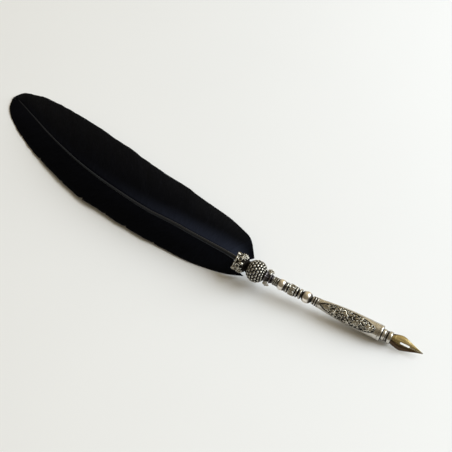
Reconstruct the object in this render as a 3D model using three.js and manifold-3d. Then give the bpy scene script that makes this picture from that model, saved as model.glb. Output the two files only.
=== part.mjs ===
// A dip pen with a feather: a steel nib in a turned ferrule, a cast barrel with
// two pierced flower panels, a stack of beads on a rod, an owl bead and a black
// flight feather glued into a sleeve inside the owl's head.
// Units are millimetres and +Z is up. The pen lies on the plane z = 0.
// Along the pen, s is the distance back from the nib's point.
import * as THREE from 'three';
import { mergeVertices } from 'three/addons/utils/BufferGeometryUtils.js';
import Module from 'manifold-3d';

const wasm = await Module();
wasm.setup();

// ---------------------------------------------------------------- dimensions
const deg = Math.PI / 180;
const TILT = 4.0 * deg;          // the pen's axis rises this much towards the feather
const ROLL = 39.0 * deg;         // the decorated side leans this much from straight up
const TIP_HEIGHT = 3.24;         // height of the axis above the plane at the nib's point
const TIP_X = 0.2, TIP_Y = -0.35; // and its plan position beside the feather's tables
const OWL_PIVOT = 91.0;          // the stack bends slightly here
const OWL_BEND = 2.1 * deg;      // and by this much, sideways

const NIB_THICK = 0.3;
const NIB_LENGTH = 34.0;
const SLOT_FROM = 8.2, SLOT_TO = 14.3, SLOT_WIDTH = 1.1, SLIT_WIDTH = 0.16;

const MOUTH = 20.0;              // front of the ferrule
const RIM = 26.35;               // front of the barrel
const BARREL_END = 68.2;
const ROD_R = 1.0;
const ROD_BORE = 1.3;
const SOCKET_OFFSET = 1.0;       // the feather's sleeve sits off the owl's centre

// barrel: distance from the point, outer radius
const BARREL = [[26.35, 4.98], [26.6, 5.08], [30, 5.09], [36, 5.07], [42, 5.0], [46, 4.92],
  [50, 4.73], [53, 4.5], [56, 4.25], [59, 3.98], [62, 3.66], [65, 3.28], [67.9, 2.98], [68.2, 2.88]];
const SHELL = 0.55;              // wall of the barrel shell
// panel window: distance from the point, half angle in degrees
const WINDOW = [[30.5, 3], [30.7, 11], [31.1, 18], [31.8, 25], [33, 32], [34.6, 38], [37, 45],
  [40, 52], [44, 56], [49, 58], [53, 59.5], [56.5, 58], [59.5, 53], [62, 45], [64.3, 32], [66, 18], [67.2, 7], [67.6, 3]];

// feather: centre line of the shaft and the outer ends of the barbs, in row axes
// measured from the nib's point
const SHAFT_PATH = [
  [-128.46, 1.97, 13.74], [-133.86, 2.38, 13.96], [-139.32, 2.83, 14.12], [-146.20, 3.42, 14.31],
  [-154.55, 4.13, 14.53], [-164.40, 5.01, 14.81], [-174.45, 6.14, 15.00], [-184.65, 6.87, 15.11],
  [-195.79, 7.61, 15.12], [-207.29, 9.39, 15.00], [-219.13, 11.75, 14.77], [-231.33, 14.51, 14.39],
  [-243.95, 17.76, 13.85], [-257.05, 21.61, 13.14], [-270.71, 26.25, 12.24], [-285.06, 31.93, 11.11],
  [-299.09, 37.89, 9.83], [-312.80, 44.31, 8.40], [-326.11, 51.03, 6.85], [-338.82, 57.46, 5.22],
  [-349.63, 63.03, 3.72], [-358.31, 67.53, 2.44], [-362.10, 69.46, 1.86]];
const SHAFT_R = [1.45, 1.42, 1.4, 1.36, 1.32, 1.27, 1.22, 1.16, 1.1, 1.04, 0.98, 0.92, 0.86, 0.8,
  0.74, 0.67, 0.6, 0.53, 0.46, 0.4, 0.34, 0.3, 0.27];
const WIDE_EDGE = [
  [-119.33, 12.44, 8.00], [-128.83, 25.20, 7.39], [-137.83, 31.26, 7.04], [-150.01, 35.67, 6.85],
  [-165.08, 39.79, 7.05], [-183.12, 44.56, 7.24], [-199.34, 47.82, 7.35], [-212.92, 50.68, 7.31],
  [-228.05, 54.77, 7.04], [-242.21, 58.81, 6.78], [-256.23, 62.73, 6.16], [-270.58, 66.73, 5.54],
  [-284.94, 70.44, 4.79], [-298.93, 73.90, 3.93], [-313.32, 77.47, 2.95], [-328.01, 80.42, 1.80],
  [-338.09, 82.08, 1.03], [-347.16, 82.51, 0.52], [-355.00, 81.30, 0.37], [-359.72, 79.45, 0.46],
  [-363.18, 77.00, 0.52], [-365.42, 73.90, 0.57], [-365.91, 70.95, 0.59]];
const NARROW_EDGE = [
  [-120.44, 0.15, 1.60], [-130.13, -2.98, 0.66], [-140.52, -4.74, 0.10], [-152.77, -6.15, 0.42],
  [-166.40, -6.54, 0.92], [-180.48, -5.89, 1.45], [-193.41, -4.71, 1.89], [-204.62, -3.58, 2.19],
  [-216.87, -2.18, 2.46], [-228.92, 0.02, 2.61], [-240.93, 2.08, 2.68], [-253.22, 4.11, 2.62],
  [-266.06, 8.03, 2.43], [-279.24, 12.99, 2.19], [-292.83, 18.29, 1.89], [-306.95, 24.16, 1.50],
  [-318.84, 29.76, 1.16], [-330.28, 35.82, 0.91], [-341.28, 42.38, 0.68], [-349.10, 47.51, 0.54],
  [-355.64, 52.99, 0.54], [-361.06, 58.77, 0.58], [-364.19, 64.41, 0.60]];
const VANE_THICK = 0.6;
const VANE_GAP = 0.3;

// ---------------------------------------------------------------- materials
const mat = (name, color, roughness, metalness) =>
  new THREE.MeshStandardMaterial({ name, color, roughness, metalness });
const silver = mat('antiqued_silver', 0xa8a498, 0.36, 0.95);
const darkSilver = mat('blackened_silver', 0x2c2926, 0.5, 0.8);
const bronze = mat('bronze_steel', 0x9a8a5c, 0.3, 0.95);
const brassRod = mat('plain_steel', 0x8d8d8a, 0.4, 0.9);
const blackLacquer = mat('black_lacquer', 0x15130f, 0.45, 0.2);
const glass = mat('black_glass', 0x070707, 0.08, 0.0);
const feather = mat('black_feather', 0x0b0c10, 0.75, 0.0);
const quill = mat('black_quill', 0x16171b, 0.35, 0.0);

// ---------------------------------------------------------------- helpers
function lerpTable(table, s) {
  if (s <= table[0][0]) return table[0][1];
  for (let i = 1; i < table.length; i++) {
    if (s <= table[i][0]) {
      const [a, va] = table[i - 1], [b, vb] = table[i];
      return va + (vb - va) * (s - a) / (b - a);
    }
  }
  return table[table.length - 1][1];
}

// a closed solid between two grids of points; a[i][j] is outside, b[i][j] inside
function gridSolid(a, b) {
  const ni = a.length, nj = a[0].length, pos = [], idx = [];
  for (const g of [a, b]) for (const row of g) for (const p of row) pos.push(p.x, p.y, p.z);
  const A = (i, j) => i * nj + j, B = (i, j) => ni * nj + i * nj + j;
  for (let i = 0; i + 1 < ni; i++) for (let j = 0; j + 1 < nj; j++) {
    idx.push(A(i, j), A(i + 1, j), A(i + 1, j + 1), A(i, j), A(i + 1, j + 1), A(i, j + 1));
    idx.push(B(i, j), B(i + 1, j + 1), B(i + 1, j), B(i, j), B(i, j + 1), B(i + 1, j + 1));
  }
  for (let i = 0; i + 1 < ni; i++) {
    idx.push(A(i, 0), B(i, 0), B(i + 1, 0), A(i, 0), B(i + 1, 0), A(i + 1, 0));
    const n = nj - 1;
    idx.push(A(i, n), A(i + 1, n), B(i + 1, n), A(i, n), B(i + 1, n), B(i, n));
  }
  for (let j = 0; j + 1 < nj; j++) {
    idx.push(A(0, j), B(0, j + 1), B(0, j), A(0, j), A(0, j + 1), B(0, j + 1));
    const n = ni - 1;
    idx.push(A(n, j), B(n, j), B(n, j + 1), A(n, j), B(n, j + 1), A(n, j + 1));
  }
  return outward(fromArrays(pos, idx));
}

function fromArrays(pos, idx) {
  const g = new THREE.BufferGeometry();
  g.setAttribute('position', new THREE.Float32BufferAttribute(pos, 3));
  g.setIndex(idx);
  g.computeVertexNormals();
  return g;
}

// turn the faces round if the solid's volume comes out negative
function outward(g) {
  const p = g.attributes.position, ix = g.index.array;
  let v = 0;
  const a = new THREE.Vector3(), b = new THREE.Vector3(), c = new THREE.Vector3();
  for (let i = 0; i < ix.length; i += 3) {
    a.fromBufferAttribute(p, ix[i]); b.fromBufferAttribute(p, ix[i + 1]); c.fromBufferAttribute(p, ix[i + 2]);
    v += a.dot(b.cross(c));
  }
  if (v < 0) {
    const out = Array.from(ix);
    for (let i = 0; i < out.length; i += 3) [out[i + 1], out[i + 2]] = [out[i + 2], out[i + 1]];
    g.setIndex(out);
    g.computeVertexNormals();
  }
  return g;
}

function toManifold(geometry) {
  const bare = geometry.clone();
  for (const n of Object.keys(bare.attributes)) if (n !== 'position') bare.deleteAttribute(n);
  const g = mergeVertices(bare, 1e-4);
  const m = new wasm.Mesh({
    numProp: 3,
    vertProperties: Float32Array.from(g.attributes.position.array),
    triVerts: Uint32Array.from(g.index.array),
  });
  m.merge();
  return new wasm.Manifold(m);
}

function fromManifold(solid) {
  const m = solid.getMesh();
  const pos = [];
  for (let i = 0; i < m.vertProperties.length; i += m.numProp) {
    pos.push(m.vertProperties[i], m.vertProperties[i + 1], m.vertProperties[i + 2]);
  }
  return fromArrays(pos, Array.from(m.triVerts));
}

const union = (list) => list.reduce((a, b) => a.add(b));

// a turned solid along the pen: points are [distance from the nib's point, radius]
function turned(points, segments = 22) {
  const pts = points.map(([s, r]) => new THREE.Vector2(Math.max(r, 0), -s));
  const g = new THREE.LatheGeometry(pts, segments);
  g.rotateZ(-Math.PI / 2);
  return outward(mergeVertices(stripped(g), 1e-4));
}
function stripped(g) {
  for (const n of Object.keys(g.attributes)) if (n !== 'position') g.deleteAttribute(n);
  return g;
}
// a ring-shaped turned solid: outer profile and inner profile, both front to back
function ring(outer, inner, segments = 22) {
  const pts = [...outer, ...inner.slice().reverse()];
  pts.push(pts[0]);
  return turned(pts, segments);
}

function ellipsoid(cx, cy, cz, rx, ry, rz, w = 20, h = 12) {
  const g = new THREE.SphereGeometry(1, w, h);
  g.scale(rx, ry, rz);
  g.translate(cx, cy, cz);
  return toManifold(g);
}
function rodBetween(a, b, r, segments = 6) {
  const A = new THREE.Vector3(...a), B = new THREE.Vector3(...b);
  const g = new THREE.CapsuleGeometry(r, A.distanceTo(B), 2, segments);
  g.applyQuaternion(new THREE.Quaternion().setFromUnitVectors(new THREE.Vector3(0, 1, 0), B.clone().sub(A).normalize()));
  const mid = A.add(B).multiplyScalar(0.5);
  g.translate(mid.x, mid.y, mid.z);
  return toManifold(g);
}

// ---------------------------------------------------------------- groups
const pen = new THREE.Group();
const tilted = new THREE.Group();
tilted.position.set(TIP_X, TIP_Y, TIP_HEIGHT);
tilted.rotation.y = TILT;
pen.add(tilted);
const rolled = new THREE.Group();
rolled.rotation.x = ROLL;
tilted.add(rolled);
const owlGroup = new THREE.Group();
owlGroup.position.x = -OWL_PIVOT;
owlGroup.rotation.z = -OWL_BEND;
rolled.add(owlGroup);
const owlInner = new THREE.Group();
owlInner.position.x = OWL_PIVOT;
owlGroup.add(owlInner);

function add(group, name, geometry, material) {
  const mesh = new THREE.Mesh(geometry, material);
  mesh.name = name;
  group.add(mesh);
  return mesh;
}

// ---------------------------------------------------------------- nib
const HALF_WIDTH = [[0, 0.32], [1, 0.5], [2, 0.78], [4.3, 1.52], [6.5, 2.26], [8.6, 2.95], [10.5, 3.6],
  [12, 4.12], [13.2, 4.4], [14.4, 4.4], [15.8, 4.2], [17.4, 3.82], [19, 3.35], [20.2, 2.95], [21, 2.65], [21.6, 2.42], [22.5, 2.35], [34, 2.35]];
const ARC_R = [[0, 2.2], [4, 3.2], [8, 4.4], [12, 5.2], [15, 5.0], [18, 3.95], [20.2, 3.02], [21, 2.7], [21.6, 2.46], [22.5, 2.36], [34, 2.36]];
const CROWN = [[0, 0.45], [3, 1.0], [6, 1.45], [10, 1.85], [13, 2.05], [17, 2.22], [20, 2.32], [22.5, 2.36], [34, 2.36]];
{
  const stations = [0, 0.8, 2, 4.3, 6.5, 8.6, 10.5, 12, 13.2, 14.4, 15.8, 17.4, 19, 20.2, 21, 21.6, 22.5, 28, NIB_LENGTH];
  const n = 10, outer = [], inner = [];
  for (const s of stations) {
    const w = lerpTable(HALF_WIDTH, s), rho = lerpTable(ARC_R, s), c = lerpTable(CROWN, s);
    const most = Math.asin(Math.min(0.999, w / rho));
    const o = [], i = [];
    for (let k = 0; k <= n; k++) {
      const t = -most + 2 * most * k / n;
      for (const [list, d] of [[o, NIB_THICK / 2], [i, -NIB_THICK / 2]]) {
        list.push(new THREE.Vector3(-s, (rho + d) * Math.sin(t), c - rho + (rho + d) * Math.cos(t)));
      }
    }
    outer.push(o); inner.push(i);
  }
  let solid = toManifold(gridSolid(outer, inner));
  const slot = new THREE.CapsuleGeometry(SLOT_WIDTH / 2, SLOT_TO - SLOT_FROM - SLOT_WIDTH, 3, 10);
  slot.rotateZ(Math.PI / 2);
  slot.scale(1, 1, 12);
  slot.translate(-(SLOT_FROM + SLOT_TO) / 2, 0, 1.9);
  solid = solid.subtract(toManifold(slot));
  const slit = new THREE.BoxGeometry(SLOT_FROM + 1.5, SLIT_WIDTH, 8);
  slit.translate(-(SLOT_FROM + 0.5) / 2 + 0.5, 0, 1.5);
  solid = solid.subtract(toManifold(slit));
  add(rolled, 'nib', fromManifold(solid), bronze);
}

// spring tube inside the ferrule that the nib's shank slides over
add(rolled, 'nib_clip', ring(
  [[23.2, 1.62], [23.6, 1.84], [34, 1.84], [37.6, 1.84], [37.61, 2.4], [38, 2.4]],
  [[23.2, 1.35], [38, 1.35]]), brassRod);

// ---------------------------------------------------------------- ferrule
add(rolled, 'ferrule_sleeve', ring(
  [[MOUTH, 3.6], [20.4, 3.88], [21.2, 3.98], [21.9, 3.9], [22.4, 3.6], [22.9, 3.38],
    [24.0, 3.36], [24.5, 3.6], [25.1, 3.66], [25.7, 3.58], [26.06, 3.1], [38.3, 3.1]],
  [[MOUTH, 3.36], [21.5, 3.3], [22.0, 2.78], [38.3, 2.78]], 24), silver);

// ---------------------------------------------------------------- barrel
const barrelR = (s) => lerpTable(BARREL, s);
{
  const outer = BARREL.map(([s, r]) => [s, r]);
  const inner = BARREL.map(([s, r]) => [s, r - (s > 67.8 ? 0.8 : SHELL)]);
  inner[0] = [RIM, 3.72]; inner[1] = [26.75, 3.72]; inner[2] = [30, 5.09 - SHELL];
  inner[inner.length - 2] = [67.9, 2.1]; inner[inner.length - 1] = [BARREL_END, 2.1];
  let shell = toManifold(ring(outer, inner, 28));
  for (const side of [0, 180]) shell = shell.subtract(toManifold(windowSolid(side, 0, 1.6, 7, null, 6)));
  add(rolled, 'barrel_shell', fromManifold(shell), silver);
}
// the solid inside a window's outline, between two radii; shrink is in millimetres
function windowSolid(side, shrink, r0, r1, follow = null, steps = 8) {
  const a = [], b = [];
  const first = WINDOW[0][0] + shrink, last = WINDOW[WINDOW.length - 1][0] - shrink * 2.2;
  for (const [s] of WINDOW) {
    const at = Math.min(Math.max(s, first), last);
    if (a.length && Math.abs(at - a[a.length - 1].s) < 1e-6) continue;
    const R = barrelR(at);
    const half = Math.max(lerpTable(WINDOW, at) * deg - shrink / R, 1.2 * deg);
    const oa = [], ob = [];
    for (let k = 0; k <= steps; k++) {
      const t = side * deg - half + 2 * half * k / steps;
      const ro = follow ? R - follow[1] : r1, ri = follow ? R - follow[0] : r0;
      oa.push(new THREE.Vector3(-at, -ro * Math.sin(t), ro * Math.cos(t)));
      ob.push(new THREE.Vector3(-at, -ri * Math.sin(t), ri * Math.cos(t)));
    }
    oa.s = at;
    a.push(oa); b.push(ob);
  }
  return gridSolid(a, b);
}
// black tube behind the panels
add(rolled, 'barrel_core', ring(
  [[27.0, 3.5], [30.4, 4.22], [42, 4.16], [50, 3.88], [56, 3.4], [62, 2.8], [67.5, 2.2]],
  [[27.0, 3.36], [30.2, 3.4], [38.7, 3.4], [39.0, ROD_BORE], [67.5, ROD_BORE]], 24), blackLacquer);

// pierced flower panels, one in each window
const HOLES = [[33.4, 4, 0.5, 1.2], [36.8, -20, 0.55, 1.5], [37.4, 19, 0.55, 1.5], [41.0, 0, 0.55, 1.6], [43.6, -27, 0.5, 1.5],
  [45.2, 24, 0.55, 1.6], [48.6, -6, 0.55, 1.6], [52.2, 22, 0.5, 1.5], [53.0, -24, 0.5, 1.5], [57.0, 4, 0.5, 1.6], [61.8, -3, 0.42, 1.5]];
function flowerPanel(side) {
  let solid = toManifold(windowSolid(side, 0.22, 0, 0, [0.5, 0.1], 6));
  for (const [s, t, r, long] of HOLES) {
    const R = barrelR(s) - 0.3, a = (side + t) * deg;
    const g = new THREE.CylinderGeometry(r, r, 2, 8);
    g.rotateX(Math.PI / 2);
    g.scale(long, 1, 1);
    g.rotateX(a);
    g.translate(-s, -R * Math.sin(a), R * Math.cos(a));
    solid = solid.subtract(toManifold(g));
  }
  return fromManifold(solid);
}
add(rolled, 'barrel_panel_upper', flowerPanel(0), darkSilver);
add(rolled, 'barrel_panel_lower', flowerPanel(180), darkSilver);

// ---------------------------------------------------------------- beads and rod
add(rolled, 'neck_collar', ring(
  [[68.4, 2.8], [68.9, 3.12], [69.4, 2.8], [69.75, 2.62], [70.35, 2.96], [70.95, 2.5], [71.2, 2.46], [71.8, 2.72], [72.6, 2.3]],
  [[68.4, ROD_BORE], [72.6, ROD_BORE]]), silver);

function bead(centre, radius, half, segments = 24) {
  const outer = [];
  const a = Math.acos(Math.min(1, half / radius));
  for (let k = 0; k <= 8; k++) {
    const t = a + (Math.PI - 2 * a) * k / 8;
    outer.push([centre - radius * Math.cos(t), radius * Math.sin(t)]);
  }
  return ring(outer, [[outer[0][0], ROD_BORE], [outer[8][0], ROD_BORE]], segments);
}
add(rolled, 'large_ball_bead', bead(76.4, 3.85, 3.5), silver);
add(rolled, 'crown_front_ring', ring(
  [[80.2, 2.6], [80.35, 3.1], [80.7, 3.3], [81.1, 3.3], [81.45, 3.1], [81.58, 2.6]],
  [[80.2, ROD_BORE], [81.58, ROD_BORE]]), silver);
add(rolled, 'crown_bead', ring(
  [[81.88, 2.4], [82.6, 2.4], [82.75, 3.1], [83.0, 3.4], [83.5, 3.4], [83.8, 3.05], [84.3, 3.2], [85.2, 3.5], [86.6, 3.55], [88.0, 3.5],
    [88.9, 3.2], [89.3, 3.05], [89.5, 3.25], [89.75, 3.35], [90.1, 3.35], [90.35, 3.1]],
  [[81.88, ROD_BORE], [90.35, ROD_BORE]]), silver);
add(rolled, 'spacer_disc', ring(
  [[90.65, 2.9], [90.75, 3.1], [91.05, 3.1], [91.15, 2.9]], [[90.65, ROD_BORE], [91.15, ROD_BORE]]), darkSilver);

{
  const small = bead(93.75, 3.62, 2.3);
  add(owlInner, 'small_ball_bead', small, silver);
}
{
  const outer = [[96.35, 2.4], [96.45, 2.75]];
  for (let k = 0; k < 3; k++) {
    const s = 96.6 + k * 1.05;
    outer.push([s, 2.8], [s + 0.55, 2.8], [s + 0.7, 2.55], [s + 0.9, 2.55]);
  }
  outer.push([99.68, 2.8], [99.75, 2.5]);
  add(owlInner, 'ridged_tube_bead', ring(outer, [[96.35, 1.55], [99.75, 1.55]]), silver);
}
add(rolled, 'centre_rod', turned([[39.4, 0], [39.4, ROD_R], [104.2, ROD_R], [104.2, 0]], 24), brassRod);

// ---------------------------------------------------------------- owl
add(owlInner, 'owl_perch', ring(
  [[100.05, 2.2], [100.3, 2.45], [101.2, 2.5], [101.4, 2.95], [101.8, 3.1], [102.2, 2.95], [102.4, 2.6], [103.6, 2.95], [104.8, 3.5], [105.3, 3.75]],
  [[100.05, 1.75], [104.6, 1.75], [105.3, 1.75]]), darkSilver);

function foot(sign) {
  const parts = [];
  // three curled toes hooked over the perch, and the leg above them
  for (const [ds, dy] of [[0, 0], [-0.95, 0.3], [0.95, 0.15]]) {
    const g = new THREE.TorusGeometry(0.82, 0.3, 5, 8);
    g.rotateX(Math.PI / 2);
    g.rotateZ(sign * 0.35);
    g.translate(-(102.9 + ds), sign * (4.1 + dy), 1.6);
    parts.push(toManifold(g));
  }
  parts.push(rodBetween([-102.2, sign * 4.0, 1.6], [-103.6, sign * 4.2, 1.6], 0.42));
  parts.push(rodBetween([-103.6, sign * 4.2, 1.6], [-104.6, sign * 4.3, 1.7], 0.4));
  return fromManifold(union(parts));
}
add(owlInner, 'owl_left_foot', foot(-1), silver);
add(owlInner, 'owl_right_foot', foot(1), silver);

{
  const outer = [];
  for (let k = 0; k <= 12; k++) {
    const t = 0.42 + (Math.PI - 0.42 - 0.62) * k / 12;
    outer.push([112.0 - 6.9 * Math.cos(t), 7.3 * Math.sin(t)]);
  }
  // a short neck narrows towards the head
  outer.push([118.2, 3.85], [118.95, 3.6]);
  const front = outer[0][0], back = outer[14][0];
  let body = toManifold(ring(outer, [[front, ROD_BORE + 0.4], [back, ROD_BORE + 0.4]], 30));
  const bore = new THREE.CylinderGeometry(2.5, 2.5, 12, 20);
  bore.rotateZ(Math.PI / 2);
  bore.translate(-(112.6 + 6), SOCKET_OFFSET, 0);
  body = body.subtract(toManifold(bore));
  add(owlInner, 'owl_body', fromManifold(body), silver);
}
{
  // head with brow ridges that meet over the beak, eye pockets and a feather hole
  const head = [ellipsoid(-122.95, 0, 0, 4.05, 6.0, 5.3, 20, 12)];
  for (const sign of [-1, 1]) {
    head.push(rodBetween([-126.0, sign * 0.25, 4.0], [-127.0, sign * 4.9, 2.5], 0.62));
    head.push(rodBetween([-127.0, sign * 4.9, 2.5], [-125.4, sign * 5.2, 2.2], 0.5));
    head.push(rodBetween([-121.0, sign * 4.9, 2.9], [-123.4, sign * 5.1, 2.6], 0.55));
    const g = new THREE.TorusGeometry(1.32, 0.3, 5, 12);
    g.rotateX(-sign * 0.28);
    g.translate(-124.3, sign * 2.3, 4.62);
    head.push(toManifold(g));
  }
  const beak = new THREE.ConeGeometry(1.0, 3.0, 10);
  beak.rotateZ(-Math.PI / 2);
  beak.scale(1, 1, 0.9);
  beak.translate(-122.4, 0, 5.15);
  head.push(toManifold(beak));
  let solid = union(head);
  for (const sign of [-1, 1]) {
    const pocket = new THREE.CylinderGeometry(1.02, 1.02, 3, 12);
    pocket.rotateX(Math.PI / 2);
    pocket.translate(-124.3, sign * 2.3, 5.35);
    solid = solid.subtract(toManifold(pocket));
  }
  const bore = new THREE.CylinderGeometry(2.5, 2.5, 20, 20);
  bore.rotateZ(Math.PI / 2);
  bore.translate(-122, SOCKET_OFFSET, 0);
  solid = solid.subtract(toManifold(bore));
  add(owlInner, 'owl_head', fromManifold(solid), silver);
  for (const [name, sign] of [['owl_left_eye', -1], ['owl_right_eye', 1]]) {
    const g = new THREE.SphereGeometry(0.82, 10, 6);
    g.scale(1, 1, 0.75);
    g.translate(-124.3, sign * 2.3, 4.62);
    add(owlInner, name, g, glass);
  }
}
{
  const tube = ring([[113.2, 2.2], [127.4, 2.2]], [[113.2, 1.78], [127.4, 1.78]], 20);
  tube.translate(0, SOCKET_OFFSET, 0);
  add(owlInner, 'feather_socket', tube, brassRod);
}

// ---------------------------------------------------------------- feather
pen.updateMatrixWorld(true);
const toRow = (s, y, z) => owlInner.localToWorld(new THREE.Vector3(-s, y, z));
{
  const path = [toRow(114.6, SOCKET_OFFSET, 0), toRow(119, SOCKET_OFFSET, 0), toRow(123.6, SOCKET_OFFSET, 0),
    toRow(127.2, SOCKET_OFFSET + 0.02, 0), ...SHAFT_PATH.slice(1).map((p) => new THREE.Vector3(...p))];
  const radii = [1.25, 1.42, 1.45, 1.45, ...SHAFT_R.slice(1)];
  const curve = new THREE.CatmullRomCurve3(path, false, 'centripetal');
  const sides = 8, rows = [];
  const count = path.length - 1;
  for (let k = 0; k <= count * 2; k++) {
    const u = k / (count * 2), p = curve.getPoint(u), t = curve.getTangent(u).normalize();
    const side = new THREE.Vector3(0, 0, 1).cross(t).normalize();
    const up = t.clone().cross(side).normalize();
    const f = u * count, i = Math.min(Math.floor(f), count - 1);
    const r = radii[i] + (radii[i + 1] - radii[i]) * (f - i);
    const row = [];
    for (let j = 0; j < sides; j++) {
      const a = 2 * Math.PI * j / sides;
      row.push(p.clone().addScaledVector(side, r * Math.cos(a)).addScaledVector(up, r * Math.sin(a)));
    }
    rows.push(row);
  }
  const pos = [], idx = [];
  for (const row of rows) for (const p of row) pos.push(p.x, p.y, p.z);
  const V = (i, j) => i * sides + (j % sides);
  for (let i = 0; i + 1 < rows.length; i++) for (let j = 0; j < sides; j++) {
    idx.push(V(i, j), V(i + 1, j), V(i + 1, j + 1), V(i, j), V(i + 1, j + 1), V(i, j + 1));
  }
  for (const [i, flip] of [[0, false], [rows.length - 1, true]]) {
    const c = pos.length / 3, mid = rows[i].reduce((a, b) => a.add(b), new THREE.Vector3()).divideScalar(sides);
    pos.push(mid.x, mid.y, mid.z);
    for (let j = 0; j < sides; j++) {
      if (flip) idx.push(c, V(i, j + 1), V(i, j)); else idx.push(c, V(i, j), V(i, j + 1));
    }
  }
  add(pen, 'quill_shaft', outward(fromArrays(pos, idx)), quill);
}

// a vane: each barb runs from the shaft to its end on the feather's outline
function vane(edge, sign, bulge, baseBend) {
  const shaft = new THREE.CatmullRomCurve3(SHAFT_PATH.map((p) => new THREE.Vector3(...p)), false, 'centripetal');
  const ends = new THREE.CatmullRomCurve3(edge.map((p) => new THREE.Vector3(...p)), false, 'centripetal');
  const count = SHAFT_PATH.length - 1, per = 2, n = 4;
  const mid = [];
  for (let k = 0; k <= count * per; k++) {
    const u = k / (count * per), f = u * count, i = Math.min(Math.floor(f), count - 1);
    const p = shaft.getPoint(u), t = shaft.getTangent(u).normalize();
    const side = new THREE.Vector3(0, 0, 1).cross(t).normalize();
    // side points to -Y when the tangent runs towards -X
    const out = side.multiplyScalar(side.y * sign > 0 ? 1 : -1);
    const r = SHAFT_R[i] + (SHAFT_R[i + 1] - SHAFT_R[i]) * (f - i);
    const root = p.clone().addScaledVector(out, r + VANE_GAP);
    root.z += sign > 0 ? 0.15 : -0.1;
    if (f < 0.3) root.x -= 1.6 * (1 - f / 0.3);
    const end = ends.getPoint(u);
    const bend = new THREE.Vector3(0, 0, lerpTable(bulge, f));
    for (const [at, v] of baseBend) {
      const w = Math.max(0, 1 - Math.abs(f - at));
      bend.addScaledVector(new THREE.Vector3(...v), w);
    }
    const ctrl = root.clone().add(end).multiplyScalar(0.5).add(bend);
    const row = [];
    for (let j = 0; j <= n; j++) {
      const q = j / n;
      row.push(root.clone().multiplyScalar((1 - q) * (1 - q))
        .addScaledVector(ctrl, 2 * q * (1 - q)).addScaledVector(end, q * q));
    }
    mid.push(row);
  }
  const top = [], low = [];
  for (let i = 0; i < mid.length; i++) {
    const a = [], b = [];
    for (let j = 0; j <= n; j++) {
      const du = mid[Math.min(i + 1, mid.length - 1)][j].clone().sub(mid[Math.max(i - 1, 0)][j]);
      const dv = mid[i][Math.min(j + 1, n)].clone().sub(mid[i][Math.max(j - 1, 0)]);
      const nrm = du.cross(dv).normalize();
      if (nrm.z < 0) nrm.negate();
      a.push(mid[i][j].clone().addScaledVector(nrm, VANE_THICK / 2));
      b.push(mid[i][j].clone().addScaledVector(nrm, -VANE_THICK / 2));
    }
    top.push(a); low.push(b);
  }
  return gridSolid(top, low);
}
add(pen, 'wide_vane', vane(WIDE_EDGE, 1, [[0, 1.6], [3, 3.2], [9, 4.0], [15, 3.0], [19, 1.6], [22, 0.5]],
  [[0, [-2.2, 0.6, 0.6]]]), feather);
add(pen, 'narrow_vane', vane(NARROW_EDGE, -1, [[0, 0.6], [3, 1.8], [8, 1.2], [15, 1.0], [19, 0.6], [22, 0.2]],
  [[0, [-6.5, -2.2, -3.4]], [1, [-2.4, -1.8, -0.8]], [2, [-0.5, -1.6, 0.6]], [3, [0, -1.2, 0.3]]]), feather);

// the row's origin is the middle of the bottom of the whole pen's box
pen.updateMatrixWorld(true);
const box = new THREE.Box3().setFromObject(pen, true);
const part = new THREE.Group();
pen.position.set(-(box.min.x + box.max.x) / 2, -(box.min.y + box.max.y) / 2, -box.min.z);
part.add(pen);

export default part;
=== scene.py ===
"""Looks of the quill pen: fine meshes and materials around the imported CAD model."""

import math

import bpy
import numpy as np
from mathutils import Matrix, Vector


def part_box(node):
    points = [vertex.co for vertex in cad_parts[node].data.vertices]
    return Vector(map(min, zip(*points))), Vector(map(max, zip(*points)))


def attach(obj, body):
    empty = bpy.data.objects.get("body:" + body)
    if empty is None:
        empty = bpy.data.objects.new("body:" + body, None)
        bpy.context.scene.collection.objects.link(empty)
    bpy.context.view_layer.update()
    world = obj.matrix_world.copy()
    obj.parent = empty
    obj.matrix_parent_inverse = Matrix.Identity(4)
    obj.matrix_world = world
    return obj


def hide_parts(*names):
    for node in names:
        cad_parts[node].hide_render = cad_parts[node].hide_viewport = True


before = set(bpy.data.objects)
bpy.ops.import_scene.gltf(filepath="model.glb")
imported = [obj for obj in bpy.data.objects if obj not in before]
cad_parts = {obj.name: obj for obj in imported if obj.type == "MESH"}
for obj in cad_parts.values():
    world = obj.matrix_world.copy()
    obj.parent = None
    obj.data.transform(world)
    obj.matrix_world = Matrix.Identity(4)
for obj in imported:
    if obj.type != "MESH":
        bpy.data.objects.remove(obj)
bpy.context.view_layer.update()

# ------------------------------------------------------------------ the pen's own frame
# Distances are in millimetres until a mesh is made. s runs back from the nib's
# point, y is across, z is towards the decorated side.
DEG = math.pi / 180
TILT, ROLL = 4.0 * DEG, 39.0 * DEG
TIP = np.array([0.2, -0.35, 3.24])      # where the axis meets the nib's point
OWL_PIVOT, OWL_BEND = 91.0, 2.1 * DEG
SOCKET_OFFSET = 1.0


def rot(axis, a):
    c, s = math.cos(a), math.sin(a)
    if axis == "x":
        return np.array([[1, 0, 0], [0, c, -s], [0, s, c]])
    if axis == "y":
        return np.array([[c, 0, s], [0, 1, 0], [-s, 0, c]])
    return np.array([[c, -s, 0], [s, c, 0], [0, 0, 1]])


PEN_ROT = rot("y", TILT) @ rot("x", ROLL)


def pen_to_mm(p):
    return np.asarray(p, float) @ PEN_ROT.T + TIP


def owl_to_pen(p):
    q = np.asarray(p, float) + np.array([OWL_PIVOT, 0, 0])
    return q @ rot("z", -OWL_BEND).T - np.array([OWL_PIVOT, 0, 0])


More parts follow.
